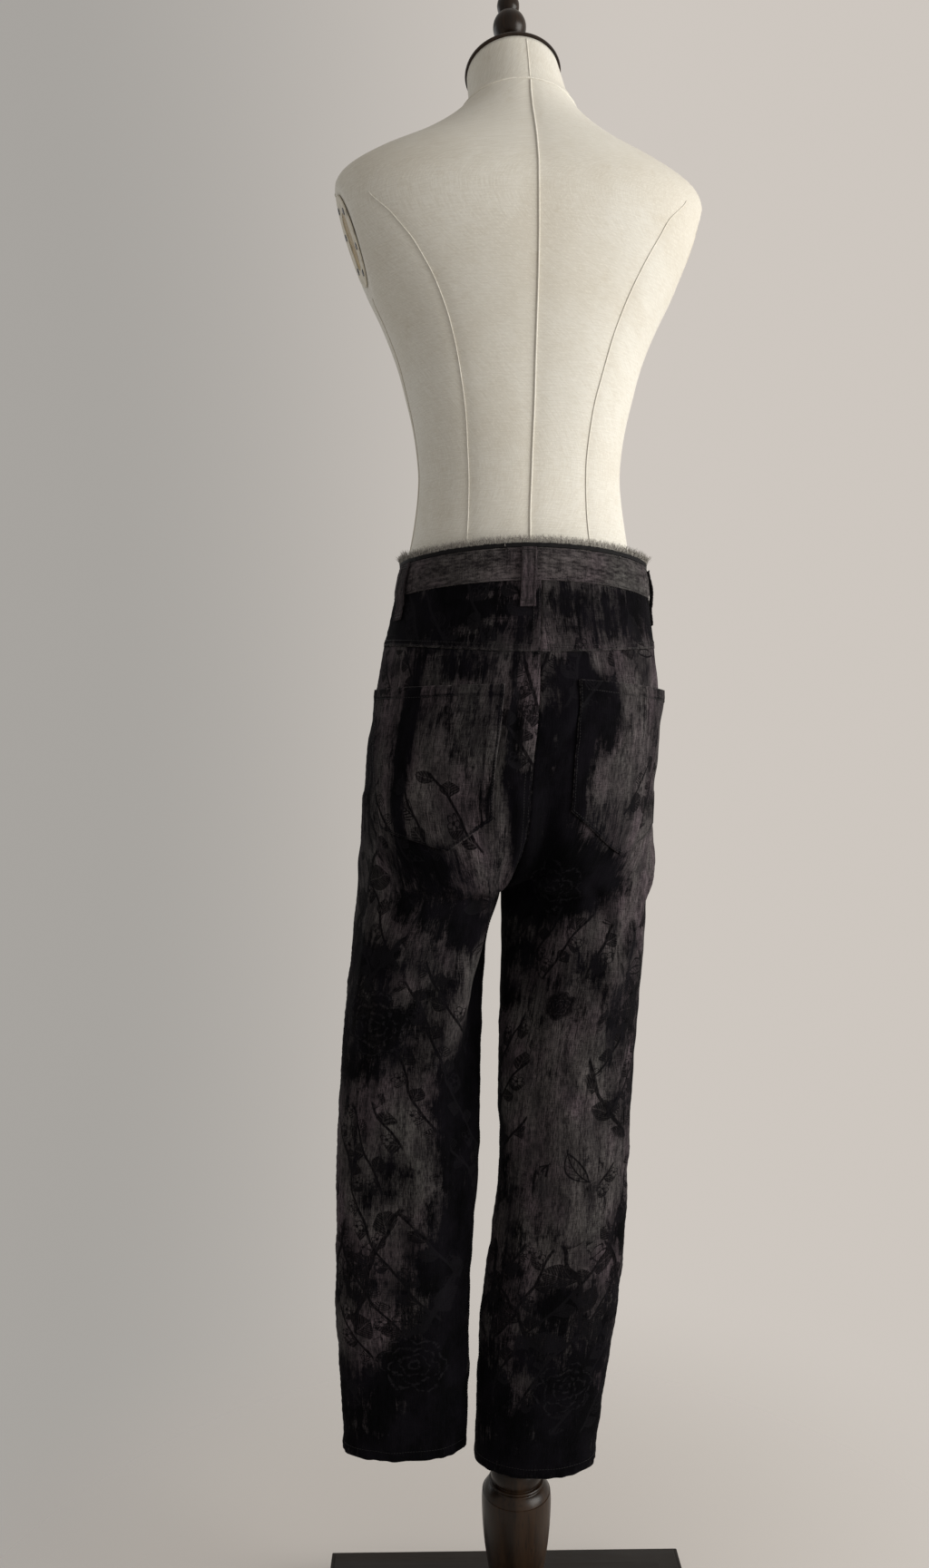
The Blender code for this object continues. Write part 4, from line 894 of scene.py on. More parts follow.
def trail_ink(n, place, spacing, step, seed):
    """Wandering twigs up the cloth with pointed leaves on both sides and small five-petalled flowers."""
    across, along, _ = n.parts(place)
    column = n.math("FLOOR", n.divided(across, spacing))
    own_column = n.node("TexWhiteNoise", noise_dimensions="1D")
    n.join(n.plus(column, seed), own_column.inputs["W"])
    phase = n.times(own_column.outputs["Value"], 6.283)
    sway = n.times(n.sine(n.times_plus(along, 2 * math.pi / 0.27, phase)), spacing * 0.20)
    twitch = n.sine(n.times_plus(along, 2 * math.pi / 0.071, n.times(phase, 2.0)))
    sway = n.times_plus(twitch, spacing * 0.035, sway)
    in_column = n.times_plus(n.fract(n.divided(across, spacing)), spacing, -spacing / 2)
    x = n.minus(in_column, sway)
    stem = n.falling(n.size(x), step * 0.044, step * 0.074)
    rows = n.plus(n.divided(along, step), phase)
    row = n.math("FLOOR", rows)
    y = n.times_plus(n.fract(rows), step, -step / 2)
    own_cell = n.node("TexWhiteNoise", noise_dimensions="2D")
    n.join(n.joined(n.plus(column, seed), row), own_cell.inputs["Vector"])
    own = n.parts(own_cell.outputs["Color"])
    side = n.times_plus(n.math("GREATER_THAN", own[0], 0.5), 2.0, -1.0)
    out = n.times(x, side)
    low = n.plus(y, step * 0.34)
    lean = n.times_plus(own[1], 0.7, 0.45)
    cos, sin = n.math("COSINE", lean), n.sine(lean)
    up_leaf = n.plus(n.times(out, sin), n.times(low, cos))
    off_leaf = n.minus(n.times(out, cos), n.times(low, sin))
    t = n.divided(up_leaf, n.times_plus(own[2], step * 0.34, step * 0.60))
    width = n.times(n.times(t, n.minus(1.0, t)), step * 1.55)
    off = n.size(off_leaf)
    inside = n.minus(width, off)
    leaf = n.between(inside, 0.0, 0.0007)
    rim = n.falling(inside, 0.0010, 0.0018)
    rib = n.falling(off, 0.0003, 0.0008)
    veins = n.fract(n.times(n.minus(up_leaf, off), 1 / 0.0034))
    veins = n.falling(n.size(n.minus(veins, 0.5)), 0.16, 0.26)
    lines = n.most(n.most(rim, rib), veins)
    filled = n.math("GREATER_THAN", own[2], 0.22)
    negative = n.minus(1.0, n.times(n.most(rib, n.times(veins, 0.5)), 0.6))
    body = n.plus(n.times(negative, filled), n.times(lines, n.minus(1.0, filled)))
    leaf = n.times(leaf, body)
    bloom_x = n.minus(out, step * 0.36)
    bloom_y = n.minus(y, step * 0.10)
    reach = n.math("SQRT", n.plus(n.times(bloom_x, bloom_x), n.times(bloom_y, bloom_y)))
    angle = n.math("ARCTAN2", bloom_y, bloom_x)
    petals = n.size(n.math("COSINE", n.times(angle, 2.5)))
    size = n.times_plus(petals, step * 0.14, step * 0.20)
    edge = n.minus(size, reach)
    in_bloom = n.between(edge, 0.0, 0.0006)
    bloom = n.most(n.falling(edge, 0.0010, 0.0019), n.falling(reach, 0.0016, 0.0024))
    bloom = n.most(bloom, n.times(n.falling(petals, 0.22, 0.34), 0.9))
    bloom = n.times(bloom, in_bloom)
    is_bloom = n.math("GREATER_THAN", own[1], 0.62)
    motif = n.most(stem, leaf)
    motif = n.times(motif, n.minus(1.0, n.times(in_bloom, is_bloom)))
    return n.most(motif, n.times(bloom, is_bloom))


def shown_where(n, field, uneven):
    """1 where a kind of motif is drawn and 0 elsewhere."""
    return n.between(n.times_plus(uneven, 0.5, field), 0.52, 0.58)


def flower_ink(n, place):
    """All that is drawn on the cloth, from 0 to 1: as ink on the grey, and as paler lines in the black."""
    shift = n.times_plus(n.grain(place, 14, 14, detail=2.0), 0.030, -0.015)
    drawn = n.vector("ADD", place, n.joined(shift, n.times(shift, -0.8)))
    uneven = n.grain(place, 30, 24, detail=1.0)
    rose, rose_inside, rims = rose_ink(n, place)
    large = trail_ink(n, n.slanted(drawn, 0.42), 0.060, 0.041, 3.0)
    large = n.times(large, shown_where(n, n.field("twigs"), uneven))
    fine = n.most(n.field("sprigs"), n.times(n.field("twigs"), 0.75))
    small = trail_ink(n, n.slanted(drawn, -0.50), 0.038, 0.024, 41.0)
    small = n.times(small, shown_where(n, fine, uneven))
    leaves = n.times(leaf_ink(n, place), shown_where(n, n.field("leaves"), uneven))
    ink = n.most(n.most(large, small), leaves)
    ink = n.times(ink, n.minus(1.0, rose_inside))
    return n.most(rose, ink), n.most(rims, n.times(ink, 0.45))


def denim(name, printed, tone=1.0):
    """Charcoal heather denim, washed black where it is dyed and where shade is painted, with or without its flowers
    in ink.
    """
    n = Finish(name, roughness=0.92, specular_ior_level=0.03, sheen_weight=0.003, sheen_roughness=0.6)
    place = n.uv()
    yarns, wales = heather(n, place)
    clouds = n.grain(place, 24, 15, detail=4.0, roughness=0.6)
    tint = n.grain(place, 17, 9, shift=(3.0, 7.0, 0.0), detail=2.0)
    cool = n.grain(place, 11, 7, shift=(8.0, 2.0, 0.0), detail=2.0)
    grey, mauve, green = (tuple(c * tone for c in color) for color in (
        (0.122, 0.112, 0.111), (0.126, 0.099, 0.112), (0.094, 0.098, 0.090)))
    light = n.mix(n.between(tint, 0.42, 0.62), grey, mauve)
    light = n.mix(n.between(cool, 0.52, 0.68, 0.0, 0.45), light, green)
    dark = (0.0120, 0.0104, 0.0116)
    base = n.mix(yarns, dark, light)
    base = n.mix(n.between(clouds, 0.40, 0.64, 0.0, 0.42), base, dark)
    if printed:
        drips = n.grain(place, 130, 17, detail=5.0, roughness=0.72)
        blotches = n.grain(place, 38, 30, detail=6.0, roughness=0.68)
        broad = n.grain(place, 13, 8, shift=(9.0, 1.0, 0.0), detail=2.0)
        ragged = n.plus(n.times(drips, 0.36), n.times(blotches, 0.36))
        ragged = n.times_plus(broad, 0.28, ragged)
        smoke = n.grain(place, 42, 15, shift=(4.0, 5.0, 0.0), detail=4.0, roughness=0.62)
        # painted shade: the field read here darkens the cloth to black where it is dyed and, at the crotch and inner
        # legs, where shade falls
        dye = n.plus(n.field("dye"), n.times_plus(ragged, 4.8, -2.4))
        dye = n.plus(dye, n.times_plus(yarns, -0.24, 0.12))
        dyed = n.between(dye, 0.18, 0.68)
        shaded = n.between(n.times_plus(broad, 1.1, n.field("dye")), 0.46, 1.10, 0.0, 0.68)
        base = n.mix(shaded, base, dark)
        base = n.mix(n.between(smoke, 0.47, 0.68, 0.0, 0.66), base, (0.0080, 0.0072, 0.0086))
        black = n.mix(n.between(clouds, 0.38, 0.64), (0.0007, 0.0007, 0.0010), (0.0032, 0.0028, 0.0042))
        black = n.mix(n.times(yarns, 0.13), black, (0.014, 0.013, 0.017))
        ink, lines = flower_ink(n, place)
        worn = n.between(n.grain(place, 480, 210, detail=2.0), 0.34, 0.64, 1.0, 0.82)
        ink = n.times(ink, worn)
        base = n.mix(n.times(ink, 0.98), base, (0.0014, 0.0012, 0.0018))
        pale = n.mix(n.times(lines, 0.42), black, (0.019, 0.018, 0.021))
        base = n.mix(dyed, base, pale)
    worn_edge = n.times(n.field("edge"), n.grain(place, 260, 260, detail=3.0, roughness=0.7))
    base = n.mix(n.between(worn_edge, 0.36, 0.68, 0.0, 0.30), base, tuple(c * tone for c in (0.125, 0.116, 0.116)))
    weave = n.bump(wales, 0.30, 0.0003)
    yarn_relief = n.bump(yarns, 0.45, 0.0004, under=weave)
    return n.finish(base, yarn_relief)


def thread_finish():
    n = Finish("black_thread", roughness=0.55, specular_ior_level=0.25, sheen_weight=0.02)
    color = (0.0045, 0.0040, 0.0045)
    place = n.object_place()
    strands = n.grain(place, 2600, 2600, 2600, detail=1.0)
    shade = n.mix(strands, tuple(c * 0.55 for c in color), tuple(c * 1.45 for c in color))
    return n.finish(shade, n.bump(strands, 0.3, 0.0002))


def frayed_finish():
    """Loose yarn ends, some still dyed dark and most worn pale."""
    n = Finish("frayed_yarn", roughness=0.9, specular_ior_level=0.15, sheen_weight=0.03)
    place = n.object_place()
    each = n.grain(place, 1500, 1500, 160, detail=2.0, roughness=0.6)
    dirt = n.grain(place, 160, 160, 60, detail=3.0)
    color = n.mix(n.between(each, 0.40, 0.58), (0.075, 0.070, 0.066), (0.50, 0.475, 0.435))
    color = n.mix(n.between(dirt, 0.45, 0.62, 0.0, 0.35), color, (0.17, 0.155, 0.14))
    return n.finish(color, n.bump(each, 0.3, 0.0002))


def tape_finish():
    n = Finish("black_tape", roughness=0.75, specular_ior_level=0.15)
    across = n.parts(n.uv())[0]
    ribs = n.sine(n.times(across, 2 * math.pi / 0.0008))
    uneven = n.grain(n.uv(), 300, 900, detail=3.0)
    color = n.mix(uneven, (0.0015, 0.0015, 0.0020), (0.0070, 0.0065, 0.0075))
    return n.finish(color, n.bump(n.plus(ribs, uneven), 0.3, 0.0003))


def canvas_finish(name, tone):
    """Unbleached cotton stretched over the form, a little aged and uneven."""
    n = Finish(name, roughness=0.86, sheen_weight=0.06, sheen_roughness=0.5)
    place = n.uv()
    across, along, _ = n.parts(place)
    warp = n.sine(n.times(across, 2 * math.pi / 0.0011))
    weft = n.sine(n.times(along, 2 * math.pi / 0.0011))
    weave = n.times(warp, weft)
    slubs = n.grain(place, 60, 900, detail=3.0)
    threads = n.grain(place, 900, 60, detail=3.0)
    age = n.noise(n.object_place(), scale=7.0, detail=4.0, roughness=0.6)
    spots = n.noise(n.object_place(), scale=38.0, detail=3.0, roughness=0.7)
    clean, aged = (tuple(c * tone for c in color) for color in ((0.660, 0.645, 0.588), (0.606, 0.580, 0.512)))
    color = n.mix(n.between(age, 0.38, 0.64), clean, aged)
    color = n.mix(n.between(spots, 0.60, 0.72, 0.0, 0.18), color, (0.46, 0.40, 0.30))
    uneven = n.plus(n.times(slubs, 0.5), n.times(threads, 0.5))
    color = n.mix(n.between(uneven, 0.44, 0.58, 0.0, 0.34), color, (0.47, 0.43, 0.35))
    pips = n.grain(place, 420, 420, detail=2.0, roughness=0.6)
    color = n.mix(n.between(pips, 0.52, 0.66, 0.0, 0.30), color, (0.80, 0.78, 0.70))
    # painted shade: the canvas is darkened a little along the seam hollows marked in its edge field
    color = n.mix(n.times(n.field("edge"), 0.10), color, (0.40, 0.345, 0.26))
    fine = n.bump(weave, 0.25, 0.0003)
    return n.finish(color, n.bump(uneven, 0.35, 0.0006, under=fine))


def wood_finish(name, dark, light, varnish, grain_along_z=True):
    """Stained wood with its grain, darker pores, and varnish worn in paler patches."""
    n = Finish(name, roughness=varnish, specular_ior_level=0.24, coat_weight=0.05, coat_roughness=0.18)
    place = n.object_place()
    pull = (26, 26, 2.2) if grain_along_z else (2.2, 30, 30)
    rings = n.grain(place, *pull, detail=5.0, roughness=0.62, distortion=0.35)
    pores = n.grain(place, *(p * 12 for p in pull), detail=2.0)
    handled = n.noise(place, scale=9.0, detail=3.0)
    color = n.mix(n.between(rings, 0.34, 0.66), dark, light)
    color = n.mix(n.between(pores, 0.52, 0.68, 0.0, 0.55), color, tuple(c * 0.35 for c in dark))
    color = n.mix(n.between(handled, 0.52, 0.72, 0.0, 0.30), color, tuple(c * 1.35 for c in light))
    gloss = n.between(n.plus(rings, n.times(handled, 0.6)), 0.5, 1.1, varnish * 0.8, varnish * 1.35)
    relief = n.bump(n.plus(n.times(pores, 0.5), rings), 0.22, 0.0005)
    return n.finish(color, relief, gloss)


def metal_finish(name, light, dark):
    n = Finish(name, roughness=0.42, metallic=1.0)
    place = n.object_place()
    tarnish = n.noise(place, scale=420.0, detail=4.0, roughness=0.6)
    scratches = n.grain(place, 3000, 300, 3000, detail=2.0)
    color = n.mix(n.between(tarnish, 0.40, 0.65), light, dark)
    return n.finish(color, n.bump(scratches, 0.15, 0.0002), n.between(tarnish, 0.35, 0.7, 0.30, 0.62))


def make_finishes():
    return {
        "printed": denim("printed_denim", True),
        "band": denim("band_denim", False, tone=0.80),
        "loop": denim("loop_denim", False, tone=0.62),
        "tape": tape_finish(),
        "thread": thread_finish(),
        "fringe": frayed_finish(),
        "canvas": canvas_finish("cotton_canvas", 1.0),
        # painted highlight: the seam cords are the canvas made lighter, for the light caught on their ridges
        "piping": canvas_finish("cotton_piping_painted_highlight", 1.13),
        "plate": wood_finish("plate_board", (0.52, 0.48, 0.39), (0.62, 0.58, 0.49), 0.75),
        "slot": wood_finish("ochre_slot", (0.27, 0.19, 0.085), (0.42, 0.32, 0.16), 0.6),
        "dark_wood": wood_finish("dark_wood", (0.0056, 0.0028, 0.0014), (0.0250, 0.0124, 0.0054), 0.32),
        "base_wood": wood_finish("base_wood", (0.0042, 0.0029, 0.0020), (0.0122, 0.0084, 0.0056), 0.56, False),
        "metal": metal_finish("aged_metal", (0.20, 0.17, 0.14), (0.055, 0.048, 0.042)),
        "dark_metal": metal_finish("black_metal", (0.035, 0.030, 0.027), (0.012, 0.010, 0.009)),
    }


# ---- The garment's pieces ----

finishes = make_finishes()


def add_piece(made, *nodes, slot):
    """Give a finished piece its place in the part and the solids that it stands for; its slot is not used."""
    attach(made, "root")
    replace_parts(made, *nodes)


def printed_piece(name, side, face, across, height, outer, uv, worn, gathered=0.0):
    """A piece of the printed cloth. Dye also gathers where it is told to, along stitches."""
    fields = {**print_fields(side, face, across, height), "edge": worn}
    fields["dye"] = np.maximum(fields["dye"], gathered)
    add_piece(shell(name + "_cloth", *outer, CLOTH, uv, fields, finishes["printed"]), name, slot="denim")


def leg_panel(side, face):
    """A leg's back or front, cut in one from its top seam to the hem."""
    across, down = sheet_grid(74, 250)
    top = panel_top(face, across)
    height = top + (HEM[side] - top) * down
    found = cloth(side, face, across, height)
    _, from_hem, from_side, from_inner = from_edges(found[0])
    lift = pucker(from_side, height, 1.0 + face) + pucker(from_inner, height, 2.0, pitch=0.013)
    lift += 0.0007 * (1 - ease((from_hem - 0.013) / 0.0015)) - 0.0005 * ridge(from_hem, HEM_ROW, 0.001)
    lift += 0.0006 * np.sin(across * 55 + 2 * np.sin(across * 17)) * near(from_hem, 0.02)
    if side == LEFT:
        lift += felled(from_inner, SEAM_BAND)
    uv = np.stack(((across - 0.5) * panel_width(side, face, height) + 1.7 * side + 0.6 * face, height), axis=-1)
    worn = np.maximum(near(from_hem, 0.004), 0.8 * near(from_side, 0.004))
    worn = np.maximum(worn, 0.8 * near(from_inner, 0.009) * (height > 1.05))
    printed_piece(f"{FACES[face]}_leg_{HANDS[side]}", side, face, across, height, lifted(found, lift), uv, worn)


def yoke(side):
    across, down = sheet_grid(74, 40)
    top = BAND_BOTTOM - waist_dip(BACK, across)
    height = top + (yoke_line(across) - top) * down
    found = cloth(side, BACK, across, height)
    from_top, from_bottom, from_side, from_inner = from_edges(found[0])
    lift = felled(from_bottom, YOKE_BAND) + pucker(from_side, height, 4.0)
    lift += pucker(from_top, across * 0.2, 3.0, 0.012, 0.014)
    if side == LEFT:
        lift += felled(from_inner, SEAM_BAND)
    uv = np.stack(((across - 0.5) * panel_width(side, BACK, height) + 1.7 * side + 3.1, height), axis=-1)
    worn = np.maximum(near(from_bottom, 0.008), 0.8 * near(from_inner, 0.009))
    printed_piece(f"yoke_{HANDS[side]}", side, BACK, across, height, lifted(found, lift), uv, worn)


def pocket_places(side, share, down):
    """Across and height on the panel for places in the pocket: share from its side edge, down from its top."""
    corner = POCKETS[side]
    share, down = np.broadcast_arrays(share, down)
    tip = 0.5
    across, height = np.zeros(share.shape), np.zeros(share.shape)
    for k, found in ((0, across), (1, height)):
        top = corner["top side"][k] + (corner["top middle"][k] - corner["top side"][k]) * share
        to_tip = corner["low side"][k] + (corner["tip"][k] - corner["low side"][k]) * share / tip
        past_tip = corner["tip"][k] + (corner["low middle"][k] - corner["tip"][k]) * (share - tip) / (1 - tip)
        found[...] = top + (np.where(share <= tip, to_tip, past_tip) - top) * down
    return across, height


POCKET_STAND = {LEFT: 0.0008, RIGHT: 0.0042}


def pocket_lift(side, share, down, from_edge, from_top):
    """How far the pocket's outer face is off the panel: thick at its turned edges, slack in the middle."""
    lift = CLOTH + LAID_GAP + 0.0005 * near(from_edge - 0.006, 0.002)
    lift += 0.0015 * np.sin(math.pi * share) ** 0.7 * np.sin(math.pi * np.clip(down * 1.1, 0, 1)) ** 0.6
    lift += 0.0009 * (1 - ease((from_top - POCKET_HEM) / 0.0015))
    lift += POCKET_STAND[side] * (near(down, 0.30) * near(share, 0.35))
    lift += 0.0010 * near(down, 0.22) * np.sin(math.pi * share)
    return lift - 0.0004 * ridge(from_edge, EDGE_ROW, GROOVE) - 0.0004 * ridge(from_top, POCKET_TOP_ROW, GROOVE)


def pocket(side):
    share, down = sheet_grid(72, 72)
    across, height = pocket_places(side, share, down)
    found = cloth(side, BACK, across, height)
    from_top, from_bottom, from_side, from_inner = from_edges(found[0])
    from_edge = np.minimum(np.minimum(from_side, from_inner), from_bottom)
    lift = pocket_lift(side, share, down, from_edge, from_top)
    gathered = 0.75 * ridge(from_edge, EDGE_ROW, 0.0014) + 0.45 * ridge(from_top, POCKET_TOP_ROW, 0.0014)
    if side == LEFT:
        lift += 0.0006 * ridge(from_inner, POCKET_FOLD, 0.0012)
        gathered += 0.65 * ridge(from_inner, POCKET_FOLD, 0.0014)
    uv = np.stack((across * panel_width(side, BACK, height) + 5.3 * side, height + 0.7), axis=-1)
    worn = np.maximum(near(from_edge, 0.004), near(from_top, 0.004))
    worn = np.maximum(worn, 0.7 * ridge(from_top, POCKET_HEM, 0.002))
    outer = lifted(found, lift)
    printed_piece(f"back_pocket_{HANDS[side]}", side, BACK, across, height, outer, uv, worn, gathered)


def fly_cover():
    to_middle = 1 - FLY_SIDE
    reach, down = sheet_grid(26, 60, to_middle + (1 - FLY_LAP))
    over = reach > to_middle
    across = np.where(over, 1 - (reach - to_middle), FLY_SIDE + reach)
    height = panel_top(FRONT, across) - LAID_GAP - FLY_LENGTH * down
    both = zip(cloth(RIGHT, FRONT, across, height), cloth(LEFT, FRONT, across, height))
    found = [np.where(over[..., None], right, left) for right, left in both]
    _, _, from_side, from_lap = from_edges(found[0])
    lift = CLOTH + LAID_GAP + 0.0005 * near(from_lap, 0.003) + pucker(from_side, height, 5.0)
    uv = np.stack((reach * 0.2 + 9.0, height), axis=-1)
    worn = np.maximum(near(from_lap, 0.004), near(from_side, 0.003))
    printed_piece("fly", LEFT, FRONT, across, height, lifted(found, lift), uv, worn)


def waist_strip(name, low, high, rows, thickness, profile, finish, slot):
    """A strip round the waist. The profile gives how far it swells from its bottom to its top edge."""
    wide = high - low
    place, share = np.meshgrid(np.linspace(LAP_END, -1, 420), np.linspace(1, 0, rows))
    outer = lifted(waist(place, low + wide * share), thickness - CLOTH + lap_lift(place) + profile(share, place))
    uv = np.stack((share * wide * 0.35 + 0.4, place * HALF_WAIST), axis=-1)
    worn = np.maximum(near(share * wide, 0.003), near((1 - share) * wide, 0.003))
    add_piece(shell(name + "_cloth", *outer, thickness, uv, {"edge": worn}, finish), name, slot=slot)


def band_profile(share, place):
    """Two layers that fill out between the two rows of stitches."""
    from_edge = np.minimum(share, 1 - share) * (BAND_TOP - BAND_BOTTOM)
    groove = -0.00045 * ridge(from_edge, EDGE_ROW, 0.0010)
    full = 0.0009 * ease((from_edge - EDGE_ROW) / 0.008)
    rolls = 0.00035 * np.sin(place * 190 + 4 * np.sin(place * 37) + share * 3) * ease(from_edge / 0.006)
    drag = 0.0004 * np.sin(place * 61 + share * 5)
    return groove + full + rolls + drag


def tape_profile(share, place):
    return 0.0004 * np.sin(math.pi * share) + 0.00025 * np.sin(place * 140 + 3 * np.sin(place * 53))


def loop_reach(place):
    """Half a loop's width where it is sewn, as a share of half the waist."""
    guess = LOOP_HALF_WIDTH / HALF_WAIST
    points, _ = waist(place + guess * np.array((-1.0, 1.0)), np.full(2, (LOOP_TOP + LOOP_BOTTOM) / 2))
    return guess * 2 * LOOP_HALF_WIDTH / float(np.linalg.norm(points[1] - points[0]))


def loop_level(along):
    return LOOP_TOP + (LOOP_BOTTOM - LOOP_TOP) * along


def loop_lift(along):
    """How far a loop's outer face is off the panels, from its top to its bottom."""
    over_band = (BAND_CLOTH - CLOTH + 0.0008) * ease((loop_level(along) - BAND_BOTTOM + 0.012) / 0.008)
    off = LOOP_BULGE * np.sin(math.pi * np.minimum(along / 0.72, 1.0)) ** 2
    return over_band + LAID_GAP + 0.0004 + off + LOOP_CLOTH


def belt_loop(name, place):
    """A strip folded in three with thick edges, sewn down at both ends."""
    share, along = np.meshgrid(np.linspace(-1, 1, 13), np.linspace(0, 1, 56))
    lift = loop_lift(along) + 0.0006 * ease((np.abs(share) - 0.55) / 0.25)
    lift += 0.0002 * np.sin(along * 60 + share * 2)
    outer = lifted(waist(place + share * loop_reach(place), loop_level(along)), lift)
    uv = np.stack((share * LOOP_HALF_WIDTH + 2.0 + place, along * (LOOP_TOP - LOOP_BOTTOM)), axis=-1)
    worn = np.maximum(ease((np.abs(share) - 0.6) / 0.3), near(along, 0.06))
    made = shell(name + "_cloth", *outer, LOOP_CLOTH, uv, {"edge": 0.7 * worn}, finishes["loop"])
    add_piece(made, name, slot="band_denim")


# ---- Stitches and loose yarn ----


def tube_faces(rings, sides):
    """Faces of a closed tube whose points go ring by ring."""
    faces = []
    for low in range(0, (rings - 1) * sides, sides):
        for k in range(sides):
            n = (k + 1) % sides
            faces.append((low + k, low + n, low + sides + n, low + sides + k))
    return [*faces, tuple(range(sides))[::-1], tuple(range((rings - 1) * sides, rings * sides))]


def capsule():
    """One stitch, lying along X and half sunk, as points and faces."""
    sides, ends = 6, ((-0.5, 0.35), (-0.38, 0.9), (0.0, 1.0), (0.38, 0.9), (0.5, 0.35))
    points = [(x, size * math.cos(2 * math.pi * k / sides), size * math.sin(2 * math.pi * k / sides))
              for x, size in ends for k in range(sides)]
    return np.array(points), tube_faces(len(ends), sides)


STITCH_PITCH = 0.0032
STITCH_LENGTH = 0.0024
STITCH_HALF_WIDTH = 0.00032


def points_at(at, run, line):
    return np.stack([np.interp(at, run, line[:, k]) for k in range(3)], axis=-1)


def resampled(points, normals, pitch):
    """Even steps along a line, with the line's direction at each."""
    run = np.concatenate(([0.0], np.cumsum(np.linalg.norm(np.diff(points, axis=0), axis=1))))
    count = max(int(run[-1] / pitch), 1)
    at = (np.arange(count) + 0.5) * run[-1] / count
    along = unit(points_at(at + pitch / 2, run, points) - points_at(at - pitch / 2, run, points))
    return points_at(at, run, points), along, unit(points_at(at, run, normals))


def sewn(lines):
    """Rows of stitches along lines of (points, normals), joined in one piece."""
    shape, faces = capsule()
    parts = []
    for line, normals, *own_pitch in lines:
        middle, along, up = resampled(line, normals, own_pitch[0] if own_pitch else STITCH_PITCH)
        over = unit(np.cross(up, along))
        along = unit(along + over * chance.normal(0, 0.05, len(middle))[:, None])
        for k in range(len(middle)):
            size = 1 + chance.uniform(-0.08, 0.08)
            points = (
                middle[k]
                + shape[:, :1] * along[k] * STITCH_LENGTH * size
                + shape[:, 1:2] * over[k] * STITCH_HALF_WIDTH
                + (shape[:, 2:] * 0.8 + 0.25) * up[k] * STITCH_HALF_WIDTH
            )
            parts.append((points, faces))
    joined("stitches", parts, finishes["thread"])


def on_panel(side, face, across, height, lift):
    return lifted(cloth(side, face, across, height), lift)


def seam_row(side, face, inset, low, high, lift):
    """A row of stitches beside the inner seam."""
    height = np.linspace(high, low, 260)
    return on_panel(side, face, 1 - inset / panel_width(side, face, height), height, lift)


def waist_row(level):
    place = np.linspace(LAP_END, -1.0, 700)
    return lifted(waist(place, level), BAND_CLOTH - CLOTH - 0.0002 + lap_lift(place))


def pocket_row(side, edge, inset):
    """Stitches beside one edge of a pocket."""
    t = np.linspace(0.012, 0.988, 90)
    away = np.full(len(t), inset / POCKET_SIZE)
    share, down = {"side": (away, t), "middle": (1 - away, t), "low": (t, 1 - away), "top": (t, away)}[edge]
    from_edge = np.full(len(t), inset if edge != "top" else 0.05)
    lift = pocket_lift(side, share, down, from_edge, down * POCKET_SIZE)
    return on_panel(side, BACK, *pocket_places(side, share, down), lift)


def bar_tack(place, level, half, lift):
    """A short dense row of stitches across a belt loop."""
    return *lifted(waist(np.linspace(place - half, place + half, 30), level), lift), 0.0009


def stitch_lines():
    lines = []
    above_crotch, below_crotch = 1.085, 1.045
    for inset in FELLED_ROWS:
        for face, low, high in ((BACK, above_crotch, BAND_BOTTOM - 0.001), (BACK, HEM[LEFT] + 0.012, below_crotch),
                                (FRONT, above_crotch, 1.215)):
            lines.append(seam_row(LEFT, face, inset, low, high, FELLED_LIFT))
        for side in (LEFT, RIGHT):
            across = np.linspace(0.01, 0.99, 240)
            lines.append(on_panel(side, BACK, across, yoke_line(across) + inset, FELLED_LIFT))
    lines.append(seam_row(RIGHT, BACK, FELLED_ROWS[0], HEM[RIGHT] + 0.012, below_crotch, 0.0))
    for side, face in PANELS:
        across = np.linspace(0.005, 0.995, 240)
        lines.append(on_panel(side, face, across, HEM[side] + HEM_ROW, 0.0003))
    for side in (LEFT, RIGHT):
        lines += [pocket_row(side, edge, EDGE_ROW) for edge in ("side", "middle", "low")]
        lines.append(pocket_row(side, "top", POCKET_TOP_ROW))
    lines.append(pocket_row(LEFT, "middle", POCKET_FOLD))
    lines += [waist_row(level) for level in (BAND_TOP - EDGE_ROW, BAND_BOTTOM + EDGE_ROW)]
    for inset in (0.002, 0.008):
        across = np.full(120, FLY_SIDE + inset / 0.2)
        height = panel_top(FRONT, across) - FLY_LENGTH * np.linspace(0.01, 0.80, 120)
        lines.append(on_panel(LEFT, FRONT, across, height, CLOTH + LAID_GAP))
    for place in LOOPS.values():
        reach = loop_reach(place)
        for along in (0.05, 0.09, 0.90, 0.95):
            lines.append(bar_tack(place, loop_level(along), reach * 0.92, loop_lift(along) + 0.0002))
        for edge in (-0.78, 0.78):
            down = np.linspace(0.10, 0.90, 40)
            lines.append(lifted(waist(place + edge * reach, loop_level(down)), loop_lift(down) + 0.0006))
    return lines


def strand(path, radius, sides=3):
    """Points and faces of a thin closed strand along a path, tapering to its end."""
    along = unit(np.gradient(path, axis=0))
    aside = unit(np.cross(along, (0.31, 0.52, 0.79)))
    other = np.cross(along, aside)
    size = radius * np.linspace(1.0, 0.45, len(path))[:, None]
    rings = [path + (aside * math.cos(a) + other * math.sin(a)) * size
             for a in (2 * math.pi * k / sides for k in range(sides))]
    return np.stack(rings, axis=1).reshape(-1, 3), tube_faces(len(path), sides)


def joined(name, parts, finish):
    faces, first = [], 0
    for points, part_faces in parts:
        faces.extend(tuple(first + corner for corner in face) for face in part_faces)
        first += len(points)
    made = mesh_piece(name, np.concatenate([points for points, _ in parts]), faces, finish)
    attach(made, "root")
    return made


FRINGE_TUFTS = (
    # place round the waist, half width, extra length
    (0.425, 0.010, 0.0045),
    (0.452, 0.006, 0.0030),
    (-0.440, 0.014, 0.0040),
    (-0.475, 0.008, 0.0055),
    (0.100, 0.006, 0.0012),
    (-0.200, 0.008, 0.0012),
)


